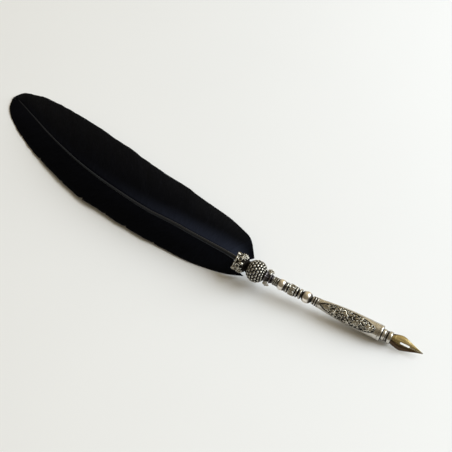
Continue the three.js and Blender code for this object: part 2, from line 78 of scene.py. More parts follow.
# the CAD model is centred on its box: find the shift from the rod, whose place is known
_lo, _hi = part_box("centre_rod")
_a = np.linspace(0, 2 * math.pi, 24, endpoint=False)
_rod = np.concatenate([np.stack([np.full(24, -s), np.sin(_a), np.cos(_a)], 1) for s in (39.4, 104.2)])
_rod = pen_to_mm(_rod)
SHIFT = (np.array(_lo) + np.array(_hi)) / 2 * 1000 - (_rod.min(0) + _rod.max(0)) / 2

pen_row = lambda p: (pen_to_mm(p) + SHIFT) / 1000
owl_row = lambda p: (pen_to_mm(owl_to_pen(p)) + SHIFT) / 1000
row_row = lambda p: (np.asarray(p, float) + SHIFT) / 1000


# ------------------------------------------------------------------ noise
def _hash(ix, iy, iz, seed):
    n = (ix * 374761393 + iy * 668265263 + iz * 2147483647 + seed * 144665) & 0xFFFFFFFF
    n = ((n ^ (n >> 13)) * 1274126177) & 0xFFFFFFFF
    n = n ^ (n >> 16)
    return (n & 0xFFFF) / 65535.0


def noise3(p, scale, seed=0):
    """smooth value noise from -1 to 1; scale is the size of one lump"""
    q = np.asarray(p, float) / scale + 1000.0
    i = np.floor(q).astype(np.int64)
    f = q - i
    f = f * f * (3 - 2 * f)
    out = 0
    for dx in (0, 1):
        for dy in (0, 1):
            for dz in (0, 1):
                w = ((f[:, 0] if dx else 1 - f[:, 0]) * (f[:, 1] if dy else 1 - f[:, 1])
                     * (f[:, 2] if dz else 1 - f[:, 2]))
                out = out + w * _hash(i[:, 0] + dx, i[:, 1] + dy, i[:, 2] + dz, seed)
    return out * 2 - 1


# ------------------------------------------------------------------ mesh helpers
def new_mesh(name, verts, faces, attrs=None, sharp=None):
    """verts in metres, faces as arrays of triangles and quads"""
    me = bpy.data.meshes.new(name)
    me.vertices.add(len(verts))
    me.vertices.foreach_set("co", np.asarray(verts, np.float32).ravel())
    groups = [np.asarray(f, np.int32) for f in (faces if isinstance(faces, list) else [faces]) if len(f)]
    sizes = np.concatenate([np.full(len(g), g.shape[1], np.int32) for g in groups])
    flat = np.concatenate([g.ravel() for g in groups])
    me.loops.add(len(flat))
    me.loops.foreach_set("vertex_index", flat)
    me.polygons.add(len(sizes))
    starts = np.concatenate([[0], np.cumsum(sizes)[:-1]]).astype(np.int32)
    me.polygons.foreach_set("loop_start", starts)
    me.polygons.foreach_set("loop_total", sizes)
    me.update(calc_edges=True)
    me.validate()
    me.polygons.foreach_set("use_smooth", np.ones(len(me.polygons), bool))
    for key, val in (attrs or {}).items():
        a = me.attributes.new(key, "FLOAT", "POINT")
        a.data.foreach_set("value", np.asarray(val, np.float32))
    if sharp:
        me.set_sharp_from_angle(angle=sharp * DEG)
    me.update()
    ob = bpy.data.objects.new(name, me)
    bpy.context.scene.collection.objects.link(ob)
    return ob


def grid_faces(ni, nj, wrap_i=False, wrap_j=False, offset=0, flip=False):
    i = np.arange(ni if wrap_i else ni - 1)
    j = np.arange(nj if wrap_j else nj - 1)
    I, J = np.meshgrid(i, j, indexing="ij")
    I2, J2 = (I + 1) % ni, (J + 1) % nj
    f = np.stack([I * nj + J, I2 * nj + J, I2 * nj + J2, I * nj + J2], -1).reshape(-1, 4) + offset
    return f[:, ::-1] if flip else f


def volume(v, faces):
    t = 0.0
    for f in faces:
        f = np.asarray(f)
        for k in range(1, f.shape[1] - 1):
            a, b, c = v[f[:, 0]], v[f[:, k]], v[f[:, k + 1]]
            t += np.einsum("ij,ij->i", a, np.cross(b, c)).sum()
    return t


def outward(v, faces):
    v = np.asarray(v, float)
    if volume(v - v.mean(0), faces) < 0:
        faces = [np.asarray(f)[:, ::-1] for f in faces]
    return faces


def sheet_solid(top, low):
    """closed solid between two (ni, nj, 3) grids"""
    ni, nj = top.shape[:2]
    v = np.concatenate([top.reshape(-1, 3), low.reshape(-1, 3)])
    m = ni * nj
    f = [grid_faces(ni, nj), grid_faces(ni, nj, offset=m, flip=True)]
    i = np.arange(ni - 1)
    j = np.arange(nj - 1)
    f.append(np.stack([i * nj, m + i * nj, m + (i + 1) * nj, (i + 1) * nj], 1))
    e = nj - 1
    f.append(np.stack([i * nj + e, (i + 1) * nj + e, m + (i + 1) * nj + e, m + i * nj + e], 1))
    f.append(np.stack([j, j + 1, m + j + 1, m + j], 1))
    b = (ni - 1) * nj
    f.append(np.stack([b + j, m + b + j, m + b + j + 1, b + j + 1], 1))
    return v, outward(v, f)


def chaikin(points, times=2):
    p = np.asarray(points, float)
    for _ in range(times):
        q = [p[0]]
        for a, b in zip(p[:-1], p[1:]):
            q += [a * 0.75 + b * 0.25, a * 0.25 + b * 0.75]
        q.append(p[-1])
        p = np.array(q)
    return p


def densify(points, step):
    p = np.asarray(points, float)
    out = [p[0]]
    for a, b in zip(p[:-1], p[1:]):
        n = max(1, int(np.ceil(np.linalg.norm(b - a) / step)))
        out += [a + (b - a) * (k + 1) / n for k in range(n)]
    return np.array(out)


def groove_depth(prof, reach=0.9):
    s, r = prof[:, 0], prof[:, 1]
    near = np.abs(s[:, None] - s[None, :]) <= reach
    top = np.where(near, r[None, :], -1).max(1)
    return top - r


def turned(name, outer, inner, place, seg=128, smooth=2, dent=0.012, step=0.25, dark=0.5, height=None, extra=None):
    """a turned ring: outer and inner profiles are [s, radius], front to back.
    height(s, angle) adds to the outer radius; extra(s, angle) gives more darkening."""
    o = densify(chaikin(outer, smooth), step) if smooth else densify(outer, step)
    n_in = densify(np.asarray(inner, float)[::-1], 1.0)
    prof = np.concatenate([o, n_in])
    depth = np.concatenate([groove_depth(o), np.full(len(n_in), 1.0)])
    a = np.linspace(0, 2 * math.pi, seg, endpoint=False)
    S, A = np.meshgrid(prof[:, 0], a, indexing="ij")
    R = np.repeat(prof[:, 1][:, None], seg, 1)
    mask = np.zeros_like(R)
    mask[: len(o)] = 1
    H = np.zeros_like(R)
    if height is not None:
        H = height(S, A) * mask
    R = R + H
    p = np.stack([-S, -R * np.sin(A), R * np.cos(A)], -1).reshape(-1, 3)
    R = R + (noise3(p, 1.6, 3) * dent + noise3(p, 0.5, 7) * dent * 0.35).reshape(R.shape) * mask
    p = np.stack([-S, -R * np.sin(A), R * np.cos(A)], -1).reshape(-1, 3)
    cav = np.clip(np.repeat(depth[:, None], seg, 1) / dark, 0, 1)
    if extra is not None:
        cav = np.clip(cav + extra(S, A) * mask, 0, 1)
    f = outward(p, [grid_faces(len(prof), seg, wrap_i=True, wrap_j=True)])
    return new_mesh(name, place(p), f, {"cav": cav.ravel()}, sharp=50)


class Sculpt:
    """parts joined, then fused into one skin by a voxel remesh"""

    def __init__(self):
        self.v, self.f, self.n = [], [], 0

    def put(self, v, faces):
        self.v.append(np.asarray(v, float))
        for f in outward(v, faces):
            self.f.append(np.asarray(f) + self.n)
        self.n += len(v)

    def ball(self, c, r, axes=None, nu=20, nv=12):
        a = np.linspace(0, 2 * math.pi, nu, endpoint=False)
        b = np.linspace(0, math.pi, nv + 1)[1:-1]
        B, A = np.meshgrid(b, a, indexing="ij")
        p = np.stack([np.sin(B) * np.cos(A), np.sin(B) * np.sin(A), np.cos(B)], -1).reshape(-1, 3)
        p = np.concatenate([p, [[0, 0, 1]], [[0, 0, -1]]])
        r = np.asarray(r, float) * np.ones(3)
        m = np.eye(3) if axes is None else np.asarray(axes, float)
        v = (p * r) @ m + np.asarray(c, float)
        k = len(b) * nu
        j = np.arange(nu)
        top = np.stack([np.full(nu, k), j, (j + 1) % nu], 1)
        e = (len(b) - 1) * nu
        low = np.stack([np.full(nu, k + 1), e + (j + 1) % nu, e + j], 1)
        self.put(v, [grid_faces(len(b), nu, wrap_j=True), top, low])

    def tube(self, pts, radii, sides=10, flat=1.0, up=None, closed=False):
        p = np.asarray(pts, float)
        r = np.asarray(radii, float) * np.ones(len(p))
        if closed:
            t = np.roll(p, -1, 0) - np.roll(p, 1, 0)
        else:
            t = np.gradient(p, axis=0)
        t /= np.linalg.norm(t, axis=1)[:, None] + 1e-12
        u = np.tile(np.array([0, 0, 1.0]), (len(p), 1)) if up is None else np.asarray(up, float) * np.ones((len(p), 3))
        side = np.cross(t, u)
        side /= np.linalg.norm(side, axis=1)[:, None] + 1e-12
        nrm = np.cross(side, t)
        a = np.linspace(0, 2 * math.pi, sides, endpoint=False)
        v = (p[:, None] + side[:, None] * (np.cos(a)[None, :, None] * r[:, None, None])
             + nrm[:, None] * (np.sin(a)[None, :, None] * r[:, None, None] * flat)).reshape(-1, 3)
        if closed:
            self.put(v, [grid_faces(len(p), sides, wrap_i=True, wrap_j=True)])
            return
        k = len(v)
        v = np.concatenate([v, [p[0] - t[0] * r[0] * 0.5], [p[-1] + t[-1] * r[-1] * 0.5]])
        j = np.arange(sides)
        e = (len(p) - 1) * sides
        c0 = np.stack([np.full(sides, k), (j + 1) % sides, j], 1)
        c1 = np.stack([np.full(sides, k + 1), e + j, e + (j + 1) % sides], 1)
        self.put(v, [grid_faces(len(p), sides, wrap_j=True), c0, c1])

    def fused(self, voxel, smooth=2, cut=None):
        """vertices and quads of the fused skin; cut is a list of (vertices, faces) taken away first"""
        ob = new_mesh("sculpt", np.concatenate(self.v), self.f)
        m = ob.modifiers.new("r", "REMESH")
        m.mode = "VOXEL"
        m.voxel_size = voxel
        m.adaptivity = 0.0
        m.use_smooth_shade = True
        tools = []
        for v, f in cut or []:
            t = new_mesh("cut", v, f)
            tools.append(t)
            b = ob.modifiers.new("b", "BOOLEAN")
            b.operation = "DIFFERENCE"
            b.solver = "EXACT"
            b.object = t
        dg = bpy.context.evaluated_depsgraph_get()
        dg.update()
        ev = ob.evaluated_get(dg)
        me = bpy.data.meshes.new_from_object(ev, depsgraph=dg)
        for o in [ob] + tools:
            old = o.data
            bpy.data.objects.remove(o)
            bpy.data.meshes.remove(old)
        v, faces = read_mesh(me)
        bpy.data.meshes.remove(me)
        for _ in range(smooth):
            v = relax(v, faces, 0.5)
        return v, faces


def read_mesh(me):
    v = np.zeros(len(me.vertices) * 3, np.float64)
    me.vertices.foreach_get("co", v)
    n = len(me.polygons)
    tot = np.zeros(n, np.int32)
    me.polygons.foreach_get("loop_total", tot)
    start = np.zeros(n, np.int32)
    me.polygons.foreach_get("loop_start", start)
    loops = np.zeros(len(me.loops), np.int32)
    me.loops.foreach_get("vertex_index", loops)
    faces = []
    for size in np.unique(tot):
        st = start[tot == size]
        g = loops[st[:, None] + np.arange(size)[None]]
        if size <= 4:
            faces.append(g)
        else:
            for k in range(1, size - 1):
                faces.append(np.stack([g[:, 0], g[:, k], g[:, k + 1]], 1))
    return v.reshape(-1, 3), faces


def relax(v, faces, amount):
    e = []
    for f in faces:
        for k in range(f.shape[1]):
            e.append(np.stack([f[:, k], f[:, (k + 1) % f.shape[1]]], 1))
    e = np.concatenate(e)
    s = np.zeros_like(v)
    c = np.zeros(len(v))
    for a, b in ((0, 1), (1, 0)):
        for k in range(3):
            s[:, k] += np.bincount(e[:, a], v[e[:, b], k], len(v))
        c += np.bincount(e[:, a], minlength=len(v))
    c = np.maximum(c, 1)
    return v + (s / c[:, None] - v) * amount


def ellipsoid_mesh(c, r, nu=48, nv=28):
    s = Sculpt()
    s.ball(c, r, nu=nu, nv=nv)
    return s.v[0], s.f


def cylinder_mesh(a, b, r, sides=48):
    s = Sculpt()
    a, b = np.asarray(a, float), np.asarray(b, float)
    t = (b - a) / np.linalg.norm(b - a)
    u = np.array([0, 0, 1.0]) if abs(t[2]) < 0.9 else np.array([1.0, 0, 0])
    s.tube([a, a * 0.5 + b * 0.5, b], [r] * 3, sides=sides, up=u)
    return s.v[0], s.f


# ------------------------------------------------------------------ materials
def material(name):
    m = bpy.data.materials.new(name)
    m.use_nodes = True
    nt = m.node_tree
    bsdf = next(n for n in nt.nodes if n.type == "BSDF_PRINCIPLED")
    return m, nt, bsdf


def node(nt, kind, **kw):
    n = nt.nodes.new(kind)
    for k, v in kw.items():
        if k in ("operation", "blend_type", "data_type", "attribute_name", "noise_dimensions", "musgrave_type",
                 "interpolation", "clamp", "feature", "distance", "wave_type", "bands_direction", "noise_type"):
            setattr(n, k, v)
        else:
            n.inputs[k].default_value = v
    return n


def link(nt, a, b):
    nt.links.new(a, b)


def ramp(nt, src, stops, interpolation="LINEAR"):
    r = nt.nodes.new("ShaderNodeValToRGB")
    r.color_ramp.interpolation = interpolation
    el = r.color_ramp.elements
    while len(el) < len(stops):
        el.new(0.5)
    for e, (pos, col) in zip(el, stops):
        e.position = pos
        e.color = (*col, 1) if len(col) == 3 else col
    link(nt, src, r.inputs["Fac"])
    return r.outputs["Color"]


def value_map(nt, src, a, b, c, d, smooth=False):
    n = nt.nodes.new("ShaderNodeMapRange")
    n.interpolation_type = "SMOOTHSTEP" if smooth else "LINEAR"
    for k, v in zip(("From Min", "From Max", "To Min", "To Max"), (a, b, c, d)):
        n.inputs[k].default_value = v
    link(nt, src, n.inputs["Value"])
    return n.outputs["Result"]


def math_node(nt, op, a, b=None, clamp=False):
    n = nt.nodes.new("ShaderNodeMath")
    n.operation = op
    n.use_clamp = clamp
    for i, x in enumerate((a, b)):
        if x is None:
            continue
        if isinstance(x, (int, float)):
            n.inputs[i].default_value = x
        else:
            link(nt, x, n.inputs[i])
    return n.outputs[0]


def mix_colour(nt, fac, a, b, blend="MIX"):
    n = nt.nodes.new("ShaderNodeMix")
    n.data_type = "RGBA"
    n.blend_type = blend
    ins = [i for i in n.inputs if i.enabled]
    for i, x in zip(("Factor", "A", "B"), (fac, a, b)):
        s = next(k for k in n.inputs if k.name == i and k.enabled)
        if isinstance(x, (int, float)):
            s.default_value = x
        elif isinstance(x, tuple):
            s.default_value = (*x, 1) if len(x) == 3 else x
        else:
            link(nt, x, s)
    return next(k for k in n.outputs if k.enabled)


def attribute(nt, name):
    n = nt.nodes.new("ShaderNodeAttribute")
    n.attribute_type = "GEOMETRY"
    n.attribute_name = name
    return n.outputs["Fac"]


def coords(nt, scale=(1, 1, 1)):
    tc = nt.nodes.new("ShaderNodeTexCoord")
    mp = nt.nodes.new("ShaderNodeMapping")
    mp.inputs["Scale"].default_value = scale
    link(nt, tc.outputs["Object"], mp.inputs["Vector"])
    return mp.outputs["Vector"]


def noise_tex(nt, vec, scale, detail=4, rough=0.55, distortion=0.0):
    n = nt.nodes.new("ShaderNodeTexNoise")
    n.inputs["Scale"].default_value = scale
    n.inputs["Detail"].default_value = detail
    n.inputs["Roughness"].default_value = rough
    n.inputs["Distortion"].default_value = distortion
    link(nt, vec, n.inputs["Vector"])
    return n.outputs["Fac"]


def bump(nt, height, strength, distance, chain=None):
    b = nt.nodes.new("ShaderNodeBump")
    b.inputs["Strength"].default_value = strength
    b.inputs["Distance"].default_value = distance
    link(nt, height, b.inputs["Height"])
    if chain is not None:
        link(nt, chain, b.inputs["Normal"])
    return b.outputs["Normal"]


def antiqued(name, bright, mid, dark, rough=(0.2, 0.62), stain=0.5, contrast=(0.12, 0.8), metal=1.0, scale=1.0):
    """plated cast metal: bright where it is rubbed, black where polish never reaches"""
    m, nt, bsdf = material(name)
    vec = coords(nt)
    fine = noise_tex(nt, vec, 2600 * scale, 5, 0.6)
    cloud = noise_tex(nt, vec, 420 * scale, 4, 0.6)
    spots = noise_tex(nt, vec, 1100 * scale, 2, 0.5)
    cav = attribute(nt, "cav")
    c = math_node(nt, "ADD", cav, math_node(nt, "MULTIPLY", math_node(nt, "SUBTRACT", cloud, 0.5), 0.55))
    c = math_node(nt, "ADD", c, math_node(nt, "MULTIPLY", math_node(nt, "SUBTRACT", spots, 0.5), 0.35))
    dirt = value_map(nt, c, contrast[0], contrast[1], 0, 1, True)
    tone = ramp(nt, cloud, [(0.3, mid), (0.62, bright)])
    tone = mix_colour(nt, value_map(nt, spots, 0.55, 0.8, 0, stain), tone, tuple(x * 0.55 for x in mid))
    col = mix_colour(nt, dirt, tone, dark)
    link(nt, col, bsdf.inputs["Base Color"])
    bsdf.inputs["Metallic"].default_value = metal
    r = value_map(nt, dirt, 0, 1, rough[0], rough[1])
    r = math_node(nt, "ADD", r, math_node(nt, "MULTIPLY", math_node(nt, "SUBTRACT", fine, 0.5), 0.22), clamp=True)
    link(nt, r, bsdf.inputs["Roughness"])
    scr = noise_tex(nt, coords(nt, (1, 9, 9)), 900 * scale, 3, 0.6)
    n1 = bump(nt, fine, 0.25, 0.00003)
    n2 = bump(nt, scr, 0.25, 0.00003, n1)
    link(nt, n2, bsdf.inputs["Normal"])
    return m


SILVER = antiqued("antiqued_silver", (0.62, 0.59, 0.54), (0.42, 0.39, 0.33), (0.016, 0.013, 0.010), rough=(0.25, 0.62))
SILVER_CARVED = antiqued("antiqued_silver_carved", (0.54, 0.515, 0.455), (0.30, 0.28, 0.235), (0.014, 0.012, 0.010),
                         rough=(0.26, 0.7), contrast=(0.25, 0.85))
SILVER_PANEL = antiqued("antiqued_silver_panel", (0.70, 0.665, 0.58), (0.25, 0.228, 0.18), (0.010, 0.008, 0.006),
                        rough=(0.2, 0.7), stain=0.8, contrast=(0.2, 0.72))
SILVER_BALL = antiqued("polished_silver", (0.88, 0.82, 0.74), (0.70, 0.64, 0.55), (0.05, 0.042, 0.032), rough=(0.22, 0.5), stain=0.25, contrast=(0.3, 1.0))
DARK_SILVER = antiqued("blackened_silver", (0.16, 0.145, 0.145), (0.055, 0.048, 0.05), (0.010, 0.008, 0.009),
                       rough=(0.34, 0.7), contrast=(0.3, 0.9))
STEEL = antiqued("turned_steel", (0.62, 0.62, 0.61), (0.48, 0.48, 0.47), (0.05, 0.045, 0.04), rough=(0.3, 0.5))


def bronze_material():
    m, nt, bsdf = material("bronze_steel")
    vec = coords(nt)
    cloud = noise_tex(nt, vec, 260, 4, 0.6)
    fine = noise_tex(nt, coords(nt, (1, 6, 6)), 1600, 4, 0.6)
    edge = attribute(nt, "edge")
    base = ramp(nt, cloud, [(0.3, (0.40, 0.315, 0.15)), (0.7, (0.56, 0.47, 0.25))])
    brown_edge_and_painted_shade = (0.055, 0.032, 0.020)
    # the edge attribute mixes in brown; on the nib's lower flank this brown is a painted dark reflection
    k = math_node(nt, "ADD", edge, math_node(nt, "MULTIPLY", math_node(nt, "SUBTRACT", cloud, 0.5), 0.7))
    col = mix_colour(nt, value_map(nt, k, 0.32, 1.0, 0, 0.96, True), base, brown_edge_and_painted_shade)
    link(nt, col, bsdf.inputs["Base Color"])
    bsdf.inputs["Metallic"].default_value = 1.0
    link(nt, value_map(nt, fine, 0.2, 0.8, 0.16, 0.34), bsdf.inputs["Roughness"])
    link(nt, bump(nt, fine, 0.3, 0.00002), bsdf.inputs["Normal"])
    return m


BRONZE = bronze_material()


def lacquer_material():
    m, nt, bsdf = material("black_lacquer")
    vec = coords(nt)
    n = noise_tex(nt, vec, 700, 4, 0.6)
    link(nt, ramp(nt, n, [(0.3, (0.006, 0.005, 0.004)), (0.8, (0.02, 0.016, 0.012))]), bsdf.inputs["Base Color"])
    link(nt, value_map(nt, n, 0.3, 0.8, 0.35, 0.7), bsdf.inputs["Roughness"])
    link(nt, bump(nt, noise_tex(nt, vec, 2400, 3, 0.6), 0.4, 0.00004), bsdf.inputs["Normal"])
    return m


def glass_material():
    m, nt, bsdf = material("black_glass")
    vec = coords(nt)
    n = noise_tex(nt, vec, 900, 3, 0.5)
    link(nt, ramp(nt, n, [(0.3, (0.004, 0.004, 0.004)), (0.8, (0.012, 0.009, 0.007))]), bsdf.inputs["Base Color"])
    link(nt, value_map(nt, n, 0.3, 0.8, 0.04, 0.12), bsdf.inputs["Roughness"])
    bsdf.inputs["Coat Weight"].default_value = 0.6
    bsdf.inputs["Coat Roughness"].default_value = 0.03
    return m


LACQUER, GLASS = lacquer_material(), glass_material()


def vane_material(name, sheen, lift=0.0):
    """dyed barbs: near black with a cool cast, streaked along each barb, with a painted sheen that makes them paler
    beside the shaft
    """
    m, nt, bsdf = material(name)
    bu, bv = attribute(nt, "bu"), attribute(nt, "bv")
    comb = nt.nodes.new("ShaderNodeCombineXYZ")
    link(nt, math_node(nt, "MULTIPLY", bu, 1.0), comb.inputs[0])
    link(nt, math_node(nt, "MULTIPLY", bv, 0.05), comb.inputs[1])
    streak = noise_tex(nt, comb.outputs[0], 1.9, 4, 0.62)
    comb2 = nt.nodes.new("ShaderNodeCombineXYZ")
    link(nt, math_node(nt, "MULTIPLY", bu, 0.12), comb2.inputs[0])
    link(nt, math_node(nt, "MULTIPLY", bv, 0.03), comb2.inputs[1])
    cloud = noise_tex(nt, comb2.outputs[0], 1.0, 3, 0.55)
    comb3 = nt.nodes.new("ShaderNodeCombineXYZ")
    link(nt, math_node(nt, "MULTIPLY", bu, 2.0), comb3.inputs[0])
    link(nt, math_node(nt, "MULTIPLY", bv, 6.0), comb3.inputs[1])
    barbule = noise_tex(nt, comb3.outputs[0], 1.0, 2, 0.5)
    k = math_node(nt, "ADD", math_node(nt, "MULTIPLY", streak, 0.65), math_node(nt, "MULTIPLY", cloud, 0.35))
    col = ramp(nt, k, [(0.30, (0.0004, 0.0005, 0.0009)), (0.52, (0.0010, 0.0011, 0.0020)), (0.78, (0.0034, 0.0038, 0.0060))])
    # painted sheen: near the shaft and towards the owl the barbs are painted a paler blue, a painted highlight along
    # the fold; sheen sets how strong it is
    near = math_node(nt, "MULTIPLY", value_map(nt, bv, 0.5, 17, sheen, 0, True), value_map(nt, bu, 25, 165, 1, 0.08, True))
    near = math_node(nt, "MULTIPLY", near, value_map(nt, streak, 0.3, 0.7, 0.55, 1.0))
    col = mix_colour(nt, near, col, (0.017, 0.020, 0.032))
    # painted light: lift paints the streaks a paler grey, so the narrow vane that tilts away from the lamp looks
    # lighter than its light makes it
    col = mix_colour(nt, math_node(nt, "MULTIPLY", streak, lift), col, (0.017, 0.0172, 0.021))
    link(nt, col, bsdf.inputs["Base Color"])
    link(nt, value_map(nt, streak, 0.3, 0.75, 0.62, 0.44), bsdf.inputs["Roughness"])
    bsdf.inputs["Specular IOR Level"].default_value = 0.022
    bsdf.inputs["Specular Tint"].default_value = (0.62, 0.78, 1.0, 1)
    n1 = bump(nt, barbule, 0.35, 0.00006)
    n2 = bump(nt, streak, 0.55, 0.00012, n1)
    link(nt, n2, bsdf.inputs["Normal"])
    return m


def quill_material():
    m, nt, bsdf = material("black_quill")
    bu, bv = attribute(nt, "bu"), attribute(nt, "bv")
    comb = nt.nodes.new("ShaderNodeCombineXYZ")
    link(nt, math_node(nt, "MULTIPLY", bu, 0.05), comb.inputs[0])
    link(nt, math_node(nt, "MULTIPLY", bv, 2.4), comb.inputs[1])
    grain = noise_tex(nt, comb.outputs[0], 2.2, 4, 0.6)
    link(nt, ramp(nt, grain, [(0.3, (0.0015, 0.0016, 0.0024)), (0.75, (0.006, 0.0062, 0.0085))]), bsdf.inputs["Base Color"])
    rough = math_node(nt, "ADD", value_map(nt, grain, 0.25, 0.8, 0.0, 0.14), value_map(nt, bu, 12, 130, 0.20, 0.62))
    link(nt, rough, bsdf.inputs["Roughness"])
    bsdf.inputs["Specular IOR Level"].default_value = 0.34
    bsdf.inputs["Specular Tint"].default_value = (0.78, 0.88, 1.0, 1)
    link(nt, bump(nt, grain, 0.4, 0.00006), bsdf.inputs["Normal"])
    return m


# the narrow vane uses a copy of the barbs with a weaker painted sheen and a painted lift towards grey
VANE, VANE_LOW, QUILL = vane_material("black_barbs", 0.9), vane_material("black_barbs_low", 0.25, 0.30), quill_material()


def finish(ob, mat, node_name, body="pen"):
    ob.data.materials.clear()
    ob.data.materials.append(mat)
    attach(ob, body)
    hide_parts(node_name)
    return ob


# ------------------------------------------------------------------ camera, light and floor
def look_at(ob, target):
    d = Vector(target) - ob.location
    ob.rotation_euler = d.to_track_quat("-Z", "Y").to_euler()


cam_data = bpy.data.cameras.new("camera")
cam_data.sensor_width = 36
cam_data.lens = 67.18
cam_data.clip_start = 0.01
cam = bpy.data.objects.new("camera", cam_data)
bpy.context.scene.collection.objects.link(cam)
cam.location = Vector(row_row([41.05, -303.40, 416.87]))
look_at(cam, row_row([-152.73, 33.60, 0.0]))
bpy.context.scene.camera = cam

world = bpy.data.worlds.new("studio")
bpy.context.scene.world = world
world.use_nodes = True
wt = world.node_tree
bg = wt.nodes["Background"]
# a room that is brighter behind the pen and to the right than on the viewer's side
wc = wt.nodes.new("ShaderNodeTexCoord")
wd = wt.nodes.new("ShaderNodeVectorMath")
wd.operation = "DOT_PRODUCT"
wd.inputs[1].default_value = (0.45, 0.80, 0.40)
wt.links.new(wc.outputs["Generated"], wd.inputs[0])
wr = wt.nodes.new("ShaderNodeValToRGB")
wr.color_ramp.interpolation = "EASE"
wr.color_ramp.elements[0].position = 0.0
wr.color_ramp.elements[0].color = (0.235, 0.203, 0.148, 1)
wr.color_ramp.elements[1].position = 0.95
wr.color_ramp.elements[1].color = (0.80, 0.69, 0.48, 1)
wt.links.new(wd.outputs["Value"], wr.inputs["Fac"])
wt.links.new(wr.outputs["Color"], bg.inputs["Color"])
bg.inputs["Strength"].default_value = 1.0


def area(name, loc, target, size, energy, colour=(1, 1, 1), size_y=None):
    d = bpy.data.lights.new(name, "AREA")
    d.energy = energy
    d.color = colour
    d.shape = "RECTANGLE" if size_y else "SQUARE"
    d.size = size
    if size_y:
        d.size_y = size_y
    o = bpy.data.objects.new(name, d)
    bpy.context.scene.collection.objects.link(o)
    o.location = loc
    look_at(o, target)
    return o


area("window", (1.36, 0.80, 1.0), (0.0, 0, 0), 1.7, 54.0, (0.815, 0.905, 1.0))

floor_me = bpy.data.meshes.new("floor")
floor_me.from_pydata([(-3, -3, 0), (3, -3, 0), (3, 3, 0), (-3, 3, 0)], [], [(0, 1, 2, 3)])
floor = bpy.data.objects.new("floor", floor_me)
bpy.context.scene.collection.objects.link(floor)
fm, fnt, fb = material("pale_floor")
link(fnt, ramp(fnt, noise_tex(fnt, coords(fnt), 3.0, 3, 0.5), [(0.3, (0.84, 0.845, 0.855)), (0.7, (0.865, 0.87, 0.88))]), fb.inputs["Base Color"])
fb.inputs["Roughness"].default_value = 0.9
fb.inputs["Specular IOR Level"].default_value = 0.1
floor_me.materials.append(fm)
bpy.context.scene.view_settings.view_transform = "Standard"


# ------------------------------------------------------------------ nib
def table(t, x):
    t = np.asarray(t, float)
    return np.interp(x, t[:, 0], t[:, 1])


HALF_WIDTH = [[0, 0.30], [1, 0.5], [2, 0.78], [4.3, 1.52], [6.5, 2.26], [8.6, 2.95], [10.5, 3.6],
              [12, 4.12], [13.2, 4.4], [14.4, 4.42], [15.8, 4.2], [17.4, 3.82], [19, 3.35], [20.2, 2.95], [21, 2.65], [21.6, 2.42], [22.5, 2.35], [34, 2.35]]
ARC_R = [[0, 2.2], [4, 3.2], [8, 4.4], [12, 5.2], [15, 5.0], [18, 3.95], [20.2, 3.02], [21, 2.7], [21.6, 2.46], [22.5, 2.36], [34, 2.36]]
CROWN = [[0, 0.45], [3, 1.0], [6, 1.45], [10, 1.85], [13, 2.05], [17, 2.22], [20, 2.32], [22.5, 2.36], [34, 2.36]]


def soften(t, step=0.25, width=1.1):
    """a table resampled and smoothed, ends kept"""
    t = np.asarray(t, float)
    x = np.arange(t[0, 0], t[-1, 0] + 1e-9, step)
    y = np.interp(x, t[:, 0], t[:, 1])
    n = int(width / step)
    k = np.hanning(2 * n + 3)[1:-1]
    k /= k.sum()
    pad = np.concatenate([2 * y[0] - y[1:n + 1][::-1], y, 2 * y[-1] - y[-n - 1:-1][::-1]])
    return np.stack([x, np.convolve(pad, k, "valid")], 1)


